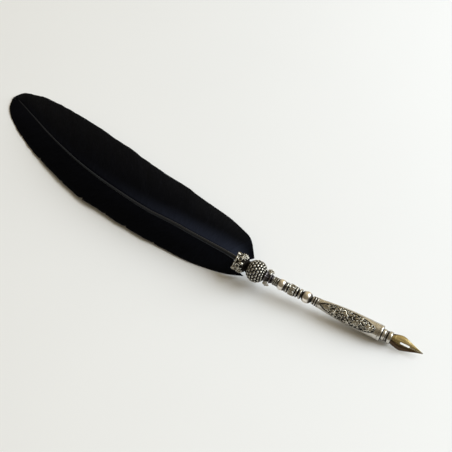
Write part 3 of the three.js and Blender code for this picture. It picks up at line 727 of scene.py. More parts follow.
def make_nib():
    hw, ar, cr = soften(HALF_WIDTH, width=0.8), soften(ARC_R, width=0.8), soften(CROWN, width=0.8)
    s = np.unique(np.concatenate([np.linspace(0, 3, 16), np.linspace(3, 23, 90), np.linspace(23, 34, 14)]))
    n = 49
    q = np.linspace(-1, 1, n)
    w, rho, c = table(hw, s), table(ar, s), table(cr, s)
    w = np.maximum(w, 0.2)
    rho = np.maximum(rho, w * 1.003)
    most = np.arcsin(np.clip(w / rho, 0, 0.999))
    T = most[:, None] * q[None]
    # a shallow pressed hollow either side of the slot
    X = -np.repeat(s[:, None], n, 1)
    grids = []
    across = rho[:, None] * np.sin(T)
    press = -0.10 * np.exp(-((np.abs(across) - 1.75) / 0.55) ** 2) * np.exp(-((s[:, None] - 14.6) / 3.4) ** 2)
    press += 0.09 * np.exp(-((s[:, None] - 18.2) / 0.35) ** 2)
    for d in (0.15, -0.15):
        # edges are rounded over by thinning the last tenth
        thin = 1 - 0.55 * np.clip((np.abs(q) - 0.93) / 0.07, 0, 1)[None] ** 2
        R = rho[:, None] + d * thin + press
        grids.append(np.stack([X, R * np.sin(T), c[:, None] - rho[:, None] + R * np.cos(T)], -1))
    v, f = sheet_solid(grids[0], grids[1])
    ob = new_mesh("nib_work", v, f)
    cuts = []
    # slot with round ends, and the slit from it to the point
    a0, a1, r = 8.2 + 0.55, 14.3 - 0.55, 0.55
    ang = np.linspace(0, math.pi, 13)
    out = [(-(a1) - r * math.sin(t), r * math.cos(t)) for t in ang] + [(-(a0) + r * math.sin(t), -r * math.cos(t)) for t in ang]
    out = np.array(out)
    m = len(out)
    top = np.concatenate([out, np.full((m, 1), 5.0)], 1)
    low = np.concatenate([out, np.full((m, 1), -3.0)], 1)
    vv = np.concatenate([top, low, [[out[:, 0].mean(), 0, 5.0]], [[out[:, 0].mean(), 0, -3.0]]])
    j = np.arange(m)
    ff = outward(vv, [np.stack([j, (j + 1) % m, m + (j + 1) % m, m + j], 1),
                      np.stack([np.full(m, 2 * m), (j + 1) % m, j], 1),
                      np.stack([np.full(m, 2 * m + 1), m + j, m + (j + 1) % m], 1)])
    cuts.append((vv, ff))
    xs, ys = (1.0, -8.6), (-0.025, 0.025)
    bx = np.array([[x, y, z] for x in xs for y in ys for z in (-3, 5)], float)
    bf = np.array([[0, 1, 3, 2], [4, 6, 7, 5], [0, 4, 5, 1], [2, 3, 7, 6], [0, 2, 6, 4], [1, 5, 7, 3]])
    cuts.append((bx, outward(bx, [bf])))
    tools = []
    for cv, cf in cuts:
        t = new_mesh("cut", cv, cf)
        tools.append(t)
        b = ob.modifiers.new("b", "BOOLEAN")
        b.operation, b.solver, b.object = "DIFFERENCE", "EXACT", t
    dg = bpy.context.evaluated_depsgraph_get()
    dg.update()
    me = bpy.data.meshes.new_from_object(ob.evaluated_get(dg), depsgraph=dg)
    for o in [ob] + tools:
        d = o.data
        bpy.data.objects.remove(o)
        bpy.data.meshes.remove(d)
    v, faces = read_mesh(me)
    bpy.data.meshes.remove(me)
    # edge darkens the bronze towards brown near the side edges, towards the ferrule and round the slot, and on the
    # lower flank as painted shade
    half = table(hw, -v[:, 0])
    edge = np.clip(np.abs(v[:, 1]) / np.maximum(half, 0.3), 0, 1) ** 3 * 0.55
    edge += np.clip((-v[:, 0] - 15.5) / 6, 0, 1) * 0.7
    # painted shade: the lower flank, on the viewer's side, is painted dark brown as a painted reflection of the dark
    # room
    painted_flank_shade = np.clip((-v[:, 1] / np.maximum(half, 0.3) - 0.06) / 0.3, 0, 1)
    edge += painted_flank_shade * painted_flank_shade * (3 - 2 * painted_flank_shade) * np.clip((-v[:, 0] - 1.0) / 4, 0.25, 1) * 0.85
    near = np.hypot(np.clip(np.abs(-v[:, 0] - 11.25) - 2.5, 0, None), v[:, 1])
    edge += np.clip(1 - near / 1.1, 0, 1) * 0.4
    return new_mesh("nib_blade", pen_row(v), faces, {"edge": edge}, sharp=38)


finish(make_nib(), BRONZE, "nib", "nib")

# ------------------------------------------------------------------ ferrule and clip
finish(turned("ferrule_turned",
              [[20.0, 3.42], [20.0, 3.66], [20.12, 3.82], [20.5, 3.95], [21.3, 4.0], [21.9, 3.92], [22.2, 3.68], [22.4, 3.45], [22.7, 3.36],
               [23.9, 3.34], [24.1, 3.42], [24.25, 3.6], [24.7, 3.68], [25.3, 3.68], [25.8, 3.6], [26.02, 3.35], [26.06, 3.1], [38.3, 3.1]],
              [[20.0, 3.36], [21.5, 3.3], [22.0, 2.78], [38.3, 2.78]], pen_row, seg=144, smooth=2, step=0.12, dark=0.55),
       SILVER, "ferrule_sleeve")
finish(turned("clip_tube", [[23.2, 1.62], [23.6, 1.84], [37.5, 1.84], [37.6, 2.3], [38, 2.4]], [[23.2, 1.35], [38, 1.35]],
              pen_row, seg=64, smooth=1, step=0.5), STEEL, "nib_clip")

# ------------------------------------------------------------------ barrel
BARREL = soften([[26.35, 5.06], [26.6, 5.08], [30, 5.09], [36, 5.07], [42, 5.0], [46, 4.92], [50, 4.73], [53, 4.5],
                 [56, 4.25], [59, 3.98], [62, 3.66], [65, 3.28], [67.9, 2.98], [68.2, 2.95]], width=1.6)
barrel_r = lambda s: table(BARREL, s)
WINDOW = [[30.5, 0], [30.6, 7], [30.8, 13], [31.1, 18], [31.8, 25], [33, 32], [34.6, 38], [37, 45], [40, 52], [44, 56],
          [49, 58], [53, 59.5], [56.5, 58], [59.5, 53], [62, 45], [64.3, 32], [66, 18], [67.2, 7], [67.6, 0]]
WIN = np.asarray(WINDOW, float)


def half_angle(s):
    return np.interp(s, WIN[:, 0], WIN[:, 1], left=0, right=0) * DEG


def window_outline(n=400):
    """points (s, arc) along the window's edge, one side then back"""
    t = np.concatenate([30.5 + (np.linspace(0, 1, n // 3) ** 2) * 3.5, np.linspace(34, 67.6, n)[1:]])
    r = half_angle(t) * barrel_r(t)
    return np.concatenate([np.stack([t, r], 1), np.stack([t, -r], 1)[::-1]])


OUTLINE = window_outline()


def make_shell():
    s = np.unique(np.round(np.concatenate([
        np.linspace(26.35, 30.5, 24), 30.5 + np.linspace(0, 1, 26) ** 2 * 3.5, np.linspace(34, 66, 120),
        np.linspace(66, 67.6, 12), np.linspace(67.6, 68.2, 6)]), 5))
    n = 36
    h = half_angle(s)
    k = np.linspace(0, 1, n)
    # each strip runs from one window's edge to the other's
    strips = []
    for start in (0.0, math.pi):
        A = start + h[:, None] + (math.pi - 2 * h[:, None]) * k[None]
        strips.append(A)
    A = np.concatenate(strips, 1)
    S = np.repeat(s[:, None], A.shape[1], 1)
    R = barrel_r(S)
    # a raised bead runs round each window
    arc = np.minimum(np.abs(((A + math.pi) % (2 * math.pi)) - math.pi), np.abs(A - math.pi))
    hh = half_angle(S)
    ends = np.maximum(0, np.maximum(30.5 - S, S - 67.6))
    d = np.hypot(np.maximum(0, arc - hh) * R, ends * 1.0)
    rim = 0.10 * np.exp(-((d - 0.14) / 0.13) ** 2)
    groove = -0.06 * np.exp(-((d - 0.38) / 0.10) ** 2)
    ring = 0.0
    front = 0.10 * np.exp(-((S - 27.2) / 0.45) ** 2) - 0.05 * np.exp(-((S - 27.95) / 0.18) ** 2)
    front = front + 0.06 * np.exp(-((S - 67.75) / 0.3) ** 2)
    Ro = R + rim + groove + front
    Ro[0] -= 0.12
    Ri = R - 0.55
    Ri[S < 30] = np.interp(S[S < 30], [26.35, 26.75, 30], [3.72, 3.72, 4.54])
    Ri[S > 67] = np.interp(S[S > 67], [67, 68.2], [2.5, 2.1])
    P = lambda R_: np.stack([-S, -R_ * np.sin(A), R_ * np.cos(A)], -1)
    po = P(Ro).reshape(-1, 3)
    Ro = Ro + (noise3(po, 2.4, 5) * 0.02 + noise3(po, 0.7, 6) * 0.008).reshape(Ro.shape)
    top, low = P(Ro), P(Ri)
    ni, nj = S.shape
    v = np.concatenate([top.reshape(-1, 3), low.reshape(-1, 3)])
    m = ni * nj
    f = []
    closed = h <= 1e-9
    for a in (0, n):
        idx = lambda i, j: i * nj + a + j
        i = np.arange(ni - 1)
        j = np.arange(n - 1)
        I, J = np.meshgrid(i, j, indexing="ij")
        f.append(np.stack([idx(I, J), idx(I + 1, J), idx(I + 1, J + 1), idx(I, J + 1)], -1).reshape(-1, 4))
        f.append(np.stack([m + idx(I, J), m + idx(I, J + 1), m + idx(I + 1, J + 1), m + idx(I + 1, J)], -1).reshape(-1, 4))
        b = n - 1
        # front and back ends
        f.append(np.stack([idx(0, j), idx(0, j + 1), m + idx(0, j + 1), m + idx(0, j)], 1))
        e = ni - 1
        f.append(np.stack([idx(e, j), m + idx(e, j), m + idx(e, j + 1), idx(e, j + 1)], 1))
        # the window's walls
        for i0 in range(ni - 1):
            if closed[i0] and closed[i0 + 1]:
                continue
            f.append(np.array([[idx(i0, 0), m + idx(i0, 0), m + idx(i0 + 1, 0), idx(i0 + 1, 0)]]))
            f.append(np.array([[idx(i0, b), idx(i0 + 1, b), m + idx(i0 + 1, b), m + idx(i0, b)]]))
    v, f = weld(v, f)
    f = outward(v, f)
    rr = np.hypot(v[:, 1], v[:, 2])
    sv = -v[:, 0]
    R0 = barrel_r(sv)
    av = np.arctan2(-v[:, 1], v[:, 2])
    av = np.minimum(np.abs(av), math.pi - np.abs(av))
    dv = np.hypot(np.maximum(0, av - half_angle(sv)) * R0, np.maximum(0, np.maximum(30.5 - sv, sv - 67.6)))
    cav = np.clip((R0 - 0.08 - rr) / 0.25, 0, 1) + 0.6 * np.exp(-((dv - 0.38) / 0.10) ** 2) \
        + 0.7 * np.exp(-((sv - 27.98) / 0.14) ** 2)
    return new_mesh("barrel_cast", pen_row(v), f, {"cav": np.clip(cav, 0, 1)}, sharp=45)


def weld(v, faces, tol=1e-4):
    key = np.round(v / tol).astype(np.int64)
    _, first, inv = np.unique(key, axis=0, return_index=True, return_inverse=True)
    inv = inv.ravel()
    out = []
    for f in faces:
        g = inv[np.asarray(f)]
        if g.shape[1] == 4:
            same = np.array([len(set(r)) for r in g])
            out.append(g[same == 4])
            tri = []
            for r in g[same == 3]:
                t = []
                for x in r:
                    if x not in t:
                        t.append(x)
                tri.append(t)
            if tri:
                out.append(np.array(tri))
        else:
            ok = (g[:, 0] != g[:, 1]) & (g[:, 1] != g[:, 2]) & (g[:, 0] != g[:, 2])
            out.append(g[ok])
    return v[first], [o for o in out if len(o)]


finish(make_shell(), SILVER, "barrel_shell")
finish(turned("core_tube",
              [[27.0, 3.5], [30.4, 4.22], [42, 4.16], [50, 3.88], [56, 3.4], [62, 2.8], [67.5, 2.2]],
              [[27.0, 3.36], [30.2, 3.4], [38.7, 3.4], [39.0, 1.3], [67.5, 1.3]], pen_row, seg=96, smooth=1, step=0.5, dent=0.03),
       LACQUER, "barrel_core")


# flower and scroll work in the window: everything is laid out in (s, arc) and wrapped on the barrel
class Wrapped:
    def __init__(self, side):
        self.side = side
        self.sc = Sculpt()
        self.taken = []

    def at(self, s, arc, depth):
        s, arc = np.asarray(s, float), np.asarray(arc, float)
        R0 = barrel_r(s)
        a = self.side + arc / R0
        R = R0 - depth
        return np.stack([-s, -R * np.sin(a), R * np.cos(a)], -1)

    def axes(self, s, arc, turn=0.0):
        a = self.side + arc / float(barrel_r(s))
        along = np.array([-1.0, 0, 0])
        around = np.array([0, -math.cos(a), -math.sin(a)])
        out = np.array([0, -math.sin(a), math.cos(a)])
        c, d = math.cos(turn), math.sin(turn)
        return np.array([along * c + around * d, -along * d + around * c, out])

    def blob(self, s, arc, rx, ry, rz, turn=0.0, depth=0.3, nu=14, nv=8):
        self.sc.ball(self.at(s, arc, depth), (rx, ry, rz), self.axes(s, arc, turn), nu, nv)

    def line(self, pts, r, depth=0.34, sides=8):
        pts = np.asarray(pts, float)
        p = self.at(pts[:, 0], pts[:, 1], depth)
        up = p * np.array([0, 1, 1])
        up /= np.linalg.norm(up, axis=1)[:, None]
        t = np.asarray(r, float) * np.ones(len(p))
        self.sc.tube(p, t, sides=sides, up=up)

    def spiral(self, s, arc, r0, turns, start, r=0.2, flip=1):
        self.taken.append((s, arc, r0 + 0.12))
        t = np.linspace(0, 1, 40)
        rad = r0 * (1 - 0.86 * t)
        a = start + flip * t * turns * 2 * math.pi
        self.line(np.stack([s + rad * np.cos(a), arc + rad * np.sin(a)], 1), r * (1 - 0.25 * t))
        self.blob(s + rad[-1] * math.cos(a[-1]), arc + rad[-1] * math.sin(a[-1]), 0.34, 0.34, 0.3)

    def flower(self, s, arc, r, petals, turn=0.0):
        self.taken.append((s, arc, 0.93 * r))
        for k in range(petals):
            a = turn + 2 * math.pi * k / petals
            cs, ca = s + 0.62 * r * math.cos(a), arc + 0.62 * r * math.sin(a)
            self.blob(cs, ca, 0.48 * r, 0.37 * r, 0.36, turn=a, depth=0.30)
            self.blob(s + 0.86 * r * math.cos(a), arc + 0.86 * r * math.sin(a), 0.24 * r, 0.26 * r, 0.26, turn=a, depth=0.17)
        self.blob(s, arc, 0.30 * r, 0.30 * r, 0.46, depth=0.14)
        for k in range(petals):
            a = turn + 2 * math.pi * (k + 0.5) / petals
            self.blob(s + 0.42 * r * math.cos(a), arc + 0.42 * r * math.sin(a), 0.09 * r + 0.06, 0.09 * r + 0.06, 0.16, depth=0.16)

    def leaf(self, s, arc, length, width, turn, ribs=True):
        for x in (-0.33, 0.0, 0.33):
            self.taken.append((s + x * length * math.cos(turn), arc + x * length * math.sin(turn), width * 0.5))
        t = np.linspace(-1, 1, 17)
        for x in t:
            w = width * math.sqrt(max(0.02, 1 - x * x)) * (1.15 - 0.35 * x)
            cs, ca = s + x * length * 0.5 * math.cos(turn), arc + x * length * 0.5 * math.sin(turn)
            self.blob(cs, ca, length * 0.11, w * 0.5, 0.24 + 0.08 * (1 - abs(x)), turn=turn, depth=0.32)
        if ribs:
            e = np.linspace(-0.55, 0.55, 12) * length
            self.line(np.stack([s + e * math.cos(turn), arc + e * math.sin(turn)], 1), 0.10, depth=0.10)


def make_panel(name, side):
    w = Wrapped(side)
    # wire that follows the window's edge
    o = OUTLINE.copy()
    c = np.array([49.0, 0.0])
    inner = []
    for s, r in o:
        lim = max(0.0, float(half_angle(np.array([min(max(s, 31.0), 66.9)]))[0] * barrel_r(min(max(s, 31.0), 66.9))) - 0.28)
        inner.append([min(max(s, 31.0), 66.4), math.copysign(min(abs(r), lim), r)])
    inner = np.array(inner)
    keep = [0]
    for i in range(1, len(inner)):
        if np.linalg.norm(inner[i] - inner[keep[-1]]) > 0.25:
            keep.append(i)
    inner = inner[keep]
    inner = np.concatenate([inner, inner[:1]])
    w.line(inner, 0.12, depth=0.5)
    # the wandering stem
    t = np.linspace(32.0, 65.5, 90)
    stem = 1.55 * np.sin((t - 31.0) * 2 * math.pi / 12.6 + 0.6) * np.interp(t, [31, 34, 58, 66], [0.5, 1, 0.9, 0.1])
    w.line(np.stack([t, stem], 1), 0.30, depth=0.34)
    for k in range(0, len(t), 4):
        w.taken.append((t[k], stem[k], 0.3))
    # flowers, largest at the round end
    w.flower(34.1, 0.0, 2.45, 6, 0.2)
    w.flower(42.6, 1.25, 2.0, 6, 0.5)
    w.flower(50.0, -1.5, 1.95, 5, 0.1)
    w.flower(57.0, 0.75, 1.6, 5, 0.7)
    w.flower(39.9, -3.2, 1.25, 5, 0.3)
    w.flower(47.6, 3.35, 1.35, 5, 0.2)
    w.flower(54.4, -3.0, 1.15, 5, 0.6)
    w.blob(34.1, 0, 0.8, 0.8, 0.42, depth=0.14)
    # scrolls
    w.spiral(38.4, 1.9, 1.35, 1.25, 2.6, 0.34, 1)
    w.spiral(37.9, -1.55, 1.2, 1.25, -2.4, 0.33, -1)
    w.spiral(46.5, 0.6, 1.2, 1.2, 3.3, 0.33, -1)
    w.spiral(45.6, -3.1, 1.2, 1.2, 0.3, 0.32, 1)
    w.spiral(53.4, 1.6, 1.2, 1.2, 2.9, 0.32, 1)
    w.spiral(60.0, -0.9, 0.95, 1.15, 2.8, 0.24, -1)
    w.spiral(43.2, 3.9, 0.85, 1.1, 1.0, 0.24, 1)
    w.spiral(51.4, 4.0, 0.75, 1.1, 2.0, 0.22, -1)
    w.spiral(49.2, -4.0, 0.75, 1.1, 0.6, 0.22, 1)
    # the plain bud at the pointed end
    w.leaf(63.0, 0.0, 5.0, 2.5, 0.0)
    w.blob(65.8, 0, 0.6, 0.42, 0.28, depth=0.2)
    w.leaf(60.9, 1.75, 2.2, 0.95, -0.4, ribs=False)
    w.leaf(61.2, -1.85, 1.8, 0.85, 0.4, ribs=False)
    # leaves, buds and beads wherever there is room, up to the rim wire
    rng = np.random.default_rng(31)
    for size in (0.78, 0.62, 0.48, 0.36, 0.27):
        cand = np.stack([rng.uniform(31.4, 65.6, 900), rng.uniform(-4.7, 4.7, 900)], 1)
        for cs, ca in cand:
            lim = float(half_angle(np.array([cs]))[0] * barrel_r(cs)) - 0.22
            if abs(ca) + size * 0.7 > lim:
                continue
            if any((cs - x) ** 2 + (ca - y) ** 2 < (q + size + 0.0) ** 2 for x, y, q in w.taken):
                continue
            turn = rng.uniform(-0.9, 0.9)
            kind = rng.integers(0, 3)
            if size > 0.45 and kind == 0:
                w.spiral(cs, ca, size, 1.1, rng.uniform(0, 6.2), 0.25, 1 if turn > 0 else -1)
            elif size > 0.35 and kind == 1:
                w.leaf(cs, ca, size * 2.1, size * 1.6, turn, ribs=size > 0.45)
                w.taken.append((cs, ca, size))
            else:
                w.blob(cs, ca, size * 1.0, size * 0.9, 0.40, turn=turn, depth=0.22)
                w.taken.append((cs, ca, size * 0.95))
    v, f = w.sc.fused(0.105, smooth=1)
    # nothing reaches the core or stands far out of the shell
    r = np.hypot(v[:, 1], v[:, 2])
    R0 = barrel_r(-v[:, 0])
    new = np.clip(r, R0 - 0.74, R0 + 0.24)
    v[:, 1:] *= (new / r)[:, None]
    depth = R0 - new
    cav = np.clip((depth - 0.02) / 0.34, 0, 1)
    f = outward(v, f)
    return new_mesh(name, pen_row(v), f, {"cav": cav})


finish(make_panel("panel_flowers_upper", 0.0), SILVER_PANEL, "barrel_panel_upper")
finish(make_panel("panel_flowers_lower", math.pi), SILVER_PANEL, "barrel_panel_lower")

# ------------------------------------------------------------------ beads
finish(turned("collar_turned",
              [[68.4, 2.5], [68.45, 2.95], [68.6, 3.1], [69.0, 3.14], [69.25, 3.05], [69.38, 2.7], [69.5, 2.6], [69.85, 2.62], [70.0, 2.9],
               [70.35, 3.0], [70.7, 2.9], [70.82, 2.5], [71.05, 2.42], [71.25, 2.62], [71.6, 2.78], [72.1, 2.74], [72.45, 2.5], [72.6, 2.2]],
              [[68.4, 1.3], [72.6, 1.3]], pen_row, seg=112, smooth=1, step=0.1, dark=0.34), SILVER, "neck_collar")


def ball(name, centre, radius, half, place, bore=1.3):
    a = math.acos(half / radius)
    t = np.linspace(a, math.pi - a, 60)
    outer = np.stack([centre - radius * np.cos(t), radius * np.sin(t)], 1)
    return turned(name, outer, [[outer[0, 0], bore], [outer[-1, 0], bore]], place, seg=144, smooth=0, step=0.3, dent=0.028,
                  extra=lambda S, A: 0.9 * np.clip((np.abs(S - centre) - half + 0.22) / 0.2, 0, 1))


finish(ball("ball_large", 76.4, 3.85, 3.5, pen_row), SILVER_BALL, "large_ball_bead")
finish(turned("crown_ring", [[80.2, 2.5], [80.24, 3.0], [80.4, 3.24], [80.9, 3.34], [81.35, 3.24], [81.54, 3.0], [81.58, 2.5]],
              [[80.2, 1.3], [81.58, 1.3]], pen_row, seg=128, smooth=2, step=0.1,
              height=lambda S, A: 0.03 * np.cos(A * 36), extra=lambda S, A: 0.25 * (0.5 - 0.5 * np.cos(A * 36))),
       SILVER, "crown_front_ring")


def crown_height(S, A):
    """five raised ovals round the bead, each with a button in it and S curls between"""
    n = 5
    c = 86.5
    k = A / (2 * math.pi) * n
    ph = (k - np.floor(k) - 0.5) * (2 * math.pi / n) * 3.25     # mm from the oval's centre
    x = S - c
    inside = np.exp(-(np.maximum(0, np.abs(x) - 2.45) / 0.12) ** 2)
    d = np.hypot(x / 1.95, ph / 1.52) - 1
    oval = np.exp(-(d * 1.7 / 0.36) ** 2)
    button = np.exp(-((np.hypot(x / 1.1, ph / 0.8)) ** 2) * 1.6)
    ph2 = (k - np.round(k)) * (2 * math.pi / n) * 3.25
    curl = np.exp(-((np.hypot(x - 1.55, ph2) - 0.42) / 0.22) ** 2) + np.exp(-((np.hypot(x + 1.55, ph2) - 0.42) / 0.22) ** 2)
    link_ = np.exp(-(ph2 / 0.22) ** 2) * (np.abs(x) < 1.3)
    return np.clip(np.maximum(np.maximum(oval, button * 0.9), np.maximum(curl * 0.8, link_ * 0.5)), 0, 1) * inside


finish(turned("crown_cast",
              [[81.88, 2.2], [81.95, 2.42], [82.55, 2.42], [82.68, 2.9], [82.75, 3.25], [82.95, 3.42], [83.25, 3.46], [83.5, 3.38], [83.65, 3.1],
               [83.8, 2.8], [84.3, 2.86], [86.6, 2.96], [88.8, 2.86], [89.25, 2.8], [89.36, 3.1], [89.5, 3.32], [89.8, 3.42], [90.1, 3.34],
               [90.3, 3.1], [90.35, 2.4]],
              [[81.88, 1.3], [90.35, 1.3]], pen_row, seg=300, smooth=1, step=0.09, dark=0.7,
              height=lambda S, A: 0.74 * crown_height(S, A) * ((S > 83.7) & (S < 89.3)),
              extra=lambda S, A: np.where((S > 83.7) & (S < 89.3), 0.6 - 1.6 * crown_height(S, A), 0)),
       SILVER_CARVED, "crown_bead")
finish(turned("disc_thin", [[90.65, 2.7], [90.68, 3.0], [90.8, 3.14], [91.0, 3.14], [91.12, 3.0], [91.15, 2.7]],
              [[90.65, 1.3], [91.15, 1.3]], pen_row, seg=96, smooth=1, step=0.08), DARK_SILVER, "spacer_disc")
finish(ball("ball_small", 93.75, 3.62, 2.3, owl_row), SILVER_BALL, "small_ball_bead")


def flutes(S, A):
    x = (A / (2 * math.pi) * 14 + (S - 96.3) * 0.42) % 1.0
    body = np.clip((S - 96.75) / 0.2, 0, 1) * np.clip((99.35 - S) / 0.2, 0, 1)
    return body * (0.5 - 0.5 * np.cos(2 * math.pi * x))


finish(turned("tube_fluted",
              [[96.35, 2.3], [96.4, 2.65], [96.55, 2.8], [96.75, 2.76], [96.85, 2.6], [99.25, 2.6], [99.35, 2.76], [99.55, 2.8], [99.7, 2.65], [99.75, 2.3]],
              [[96.35, 1.55], [99.75, 1.55]], owl_row, seg=224, smooth=1, step=0.1, dark=0.5,
              height=lambda S, A: 0.2 * flutes(S, A) - 0.06, extra=lambda S, A: 0.85 * (1 - flutes(S, A)) * ((S > 96.8) & (S < 99.3))),
       SILVER_CARVED, "ridged_tube_bead")

# ------------------------------------------------------------------ owl
finish(turned("perch_cone",
              [[100.05, 2.0], [100.1, 2.35], [100.3, 2.5], [101.1, 2.5], [101.3, 2.8], [101.45, 3.1], [101.8, 3.2], [102.1, 3.1], [102.25, 2.75], [102.5, 2.55],
               [103.6, 2.95], [104.8, 3.5], [105.2, 3.72], [105.3, 3.5]],
              [[100.05, 1.75], [105.3, 1.75]], owl_row, seg=128, smooth=1, step=0.12, dark=0.6,
              height=lambda S, A: 0.10 * np.cos(A * 16) * np.clip((S - 102.6) / 0.5, 0, 1)), DARK_SILVER, "owl_perch")


def make_foot(name, sign):
    """three toes that curl into loops beside the perch, and two claws laid over it"""
    sc = Sculpt()
    z0 = 1.6
    for ds, dy, r in ((0.1, 0.45, 0.70), (-1.15, 0.15, 0.58), (1.25, 0.1, 0.60)):
        a = np.linspace(-0.6, 2 * math.pi - 0.9, 40)
        c = np.array([-(102.9 + ds), sign * (4.05 + dy), z0])
        fan = sign * (0.35 + ds * 0.22)
        p = np.stack([r * np.cos(a), sign * r * np.sin(a), 0.22 * np.sin(a * 0.5)], 1)
        p = p @ rot("z", fan).T + c
        taper = np.interp(np.linspace(0, 1, len(a)), [0, 0.7, 1], [0.44, 0.38, 0.2])
        sc.tube(p, taper, sides=12)
    sc.ball([-102.7, sign * 3.85, z0 + 0.1], [1.0, 0.6, 0.7])
    sc.tube([[-102.6, sign * 3.95, z0], [-103.5, sign * 4.15, z0 + 0.1], [-104.5, sign * 4.4, z0 + 0.15]], [0.6, 0.52, 0.6], sides=12)
    for s1, y1, z1 in ((102.3, 2.35, 2.95), (103.3, 2.5, 2.95)):
        sc.tube([[-102.8, sign * 3.8, z0 + 0.3], [-(s1 + 102.8) / 2, sign * 3.25, 2.45], [-s1, sign * y1, z1]], [0.42, 0.4, 0.22], sides=10)
    v, f = sc.fused(0.07, smooth=2)
    depth = np.abs(v[:, 2] - z0)
    cav = np.clip(0.6 - depth / 0.3, 0, 1)
    return new_mesh(name, owl_row(v), f, {"cav": cav})


finish(make_foot("foot_left", -1), SILVER_CARVED, "owl_left_foot")
finish(make_foot("foot_right", 1), SILVER_CARVED, "owl_right_foot")


def scale_pattern(row_f, col_f):
    """staggered drops; returns height 0..1. row_f grows towards the tail, col_f is in scale widths"""
    best = np.zeros_like(row_f)
    worn = np.zeros_like(row_f)
    r0 = np.floor(row_f)
    for dr in (-1, 0, 1):
        r = r0 + dr
        off = np.mod(r, 2) * 0.5
        c = np.round(col_f - off) + off
        x = (col_f - c) * 2.0
        y = (row_f - (r + 0.5)) * 2.0
        # wider at the lower end, drawn to a point at the upper end
        w = 0.92 - 0.24 * np.clip(-y, -1, 1)
        d = np.hypot(x / w, y / 1.12)
        h = np.clip(1 - d ** 2.2, 0, 1) ** 0.6
        h = h * (0.72 + 0.28 * np.clip(y, -1, 1))
        worn = np.where(h > best, np.clip(0.15 + 0.85 * (y + 0.55), 0, 1), worn)
        best = np.maximum(best, h)
    return best, worn


def make_body():
    nt_, na = 230, 420
    t = np.linspace(0.40, math.pi - 0.60, nt_)
    a = np.linspace(0, 2 * math.pi, na, endpoint=False)
    T, A = np.meshgrid(t, a, indexing="ij")
    S0 = 112.0 - 6.9 * np.cos(T)
    R0 = 7.3 * np.sin(T)
    # from the neck (large t) down to the tail (small t)
    rows = (math.pi - 0.60 - T) / (math.pi - 1.0) * 7.5
    cols = A / (2 * math.pi) * 16
    h, worn = scale_pattern(rows, cols)
    fade = np.clip((T - 0.42) / 0.1, 0, 1) * np.clip((math.pi - 0.62 - T) / 0.06, 0, 1)
    H = (-0.62 + 0.84 * h) * fade
    nx, nr = -np.cos(T) / 6.9, np.sin(T) / 7.3
    ln = np.hypot(nx, nr)
    S = S0 + nx / ln * H
    R = R0 + nr / ln * H
    rad = np.stack([-S, -R * np.sin(A), R * np.cos(A)], -1).reshape(-1, 3)
    cav = np.clip((1 - h) * 1.5 - 0.28 + 0.42 * (1 - worn), 0, 1) * fade + (1 - fade)
    # close it through the bores
    a1 = np.linspace(0, 2 * math.pi, na, endpoint=False)
    rings = [(118.2, 3.85, 0.0), (118.9, 3.62, 0.0), (118.95, 3.5, 0.2), (118.95, 2.5, SOCKET_OFFSET), (112.6, 2.5, SOCKET_OFFSET), (112.55, 1.7, 0.0), (S0[0, 0] + 0.05, 1.7, 0.0)]
    extra = np.concatenate([np.stack([np.full(na, -s), -r * np.sin(a1) + off, r * np.cos(a1)], 1) for s, r, off in rings])
    v = np.concatenate([rad, extra])
    f = [grid_faces(nt_ + len(rings), na, wrap_i=True, wrap_j=True)]
    f = outward(v, f)
    cav = np.concatenate([cav.ravel(), np.ones(len(extra))])
    return new_mesh("owl_scales", owl_row(v), f, {"cav": cav}, sharp=70)


finish(make_body(), SILVER_CARVED, "owl_body")

HEAD_C, HEAD_R = np.array([-122.95, 0, 0]), np.array([4.05, 6.0, 5.3])


def on_head(s, y, lift=0.0):
    """a point on the front of the head's egg shape"""
    x = (-s - HEAD_C[0]) / HEAD_R[0]
    q = 1 - x * x - (y / HEAD_R[1]) ** 2
    z = HEAD_R[2] * math.sqrt(max(q, 0.04))
    p = np.array([-s, y, z])
    n = np.array([x / HEAD_R[0], y / HEAD_R[1] ** 2, z / HEAD_R[2] ** 2])
    n /= np.linalg.norm(n)
    return p + n * lift, n


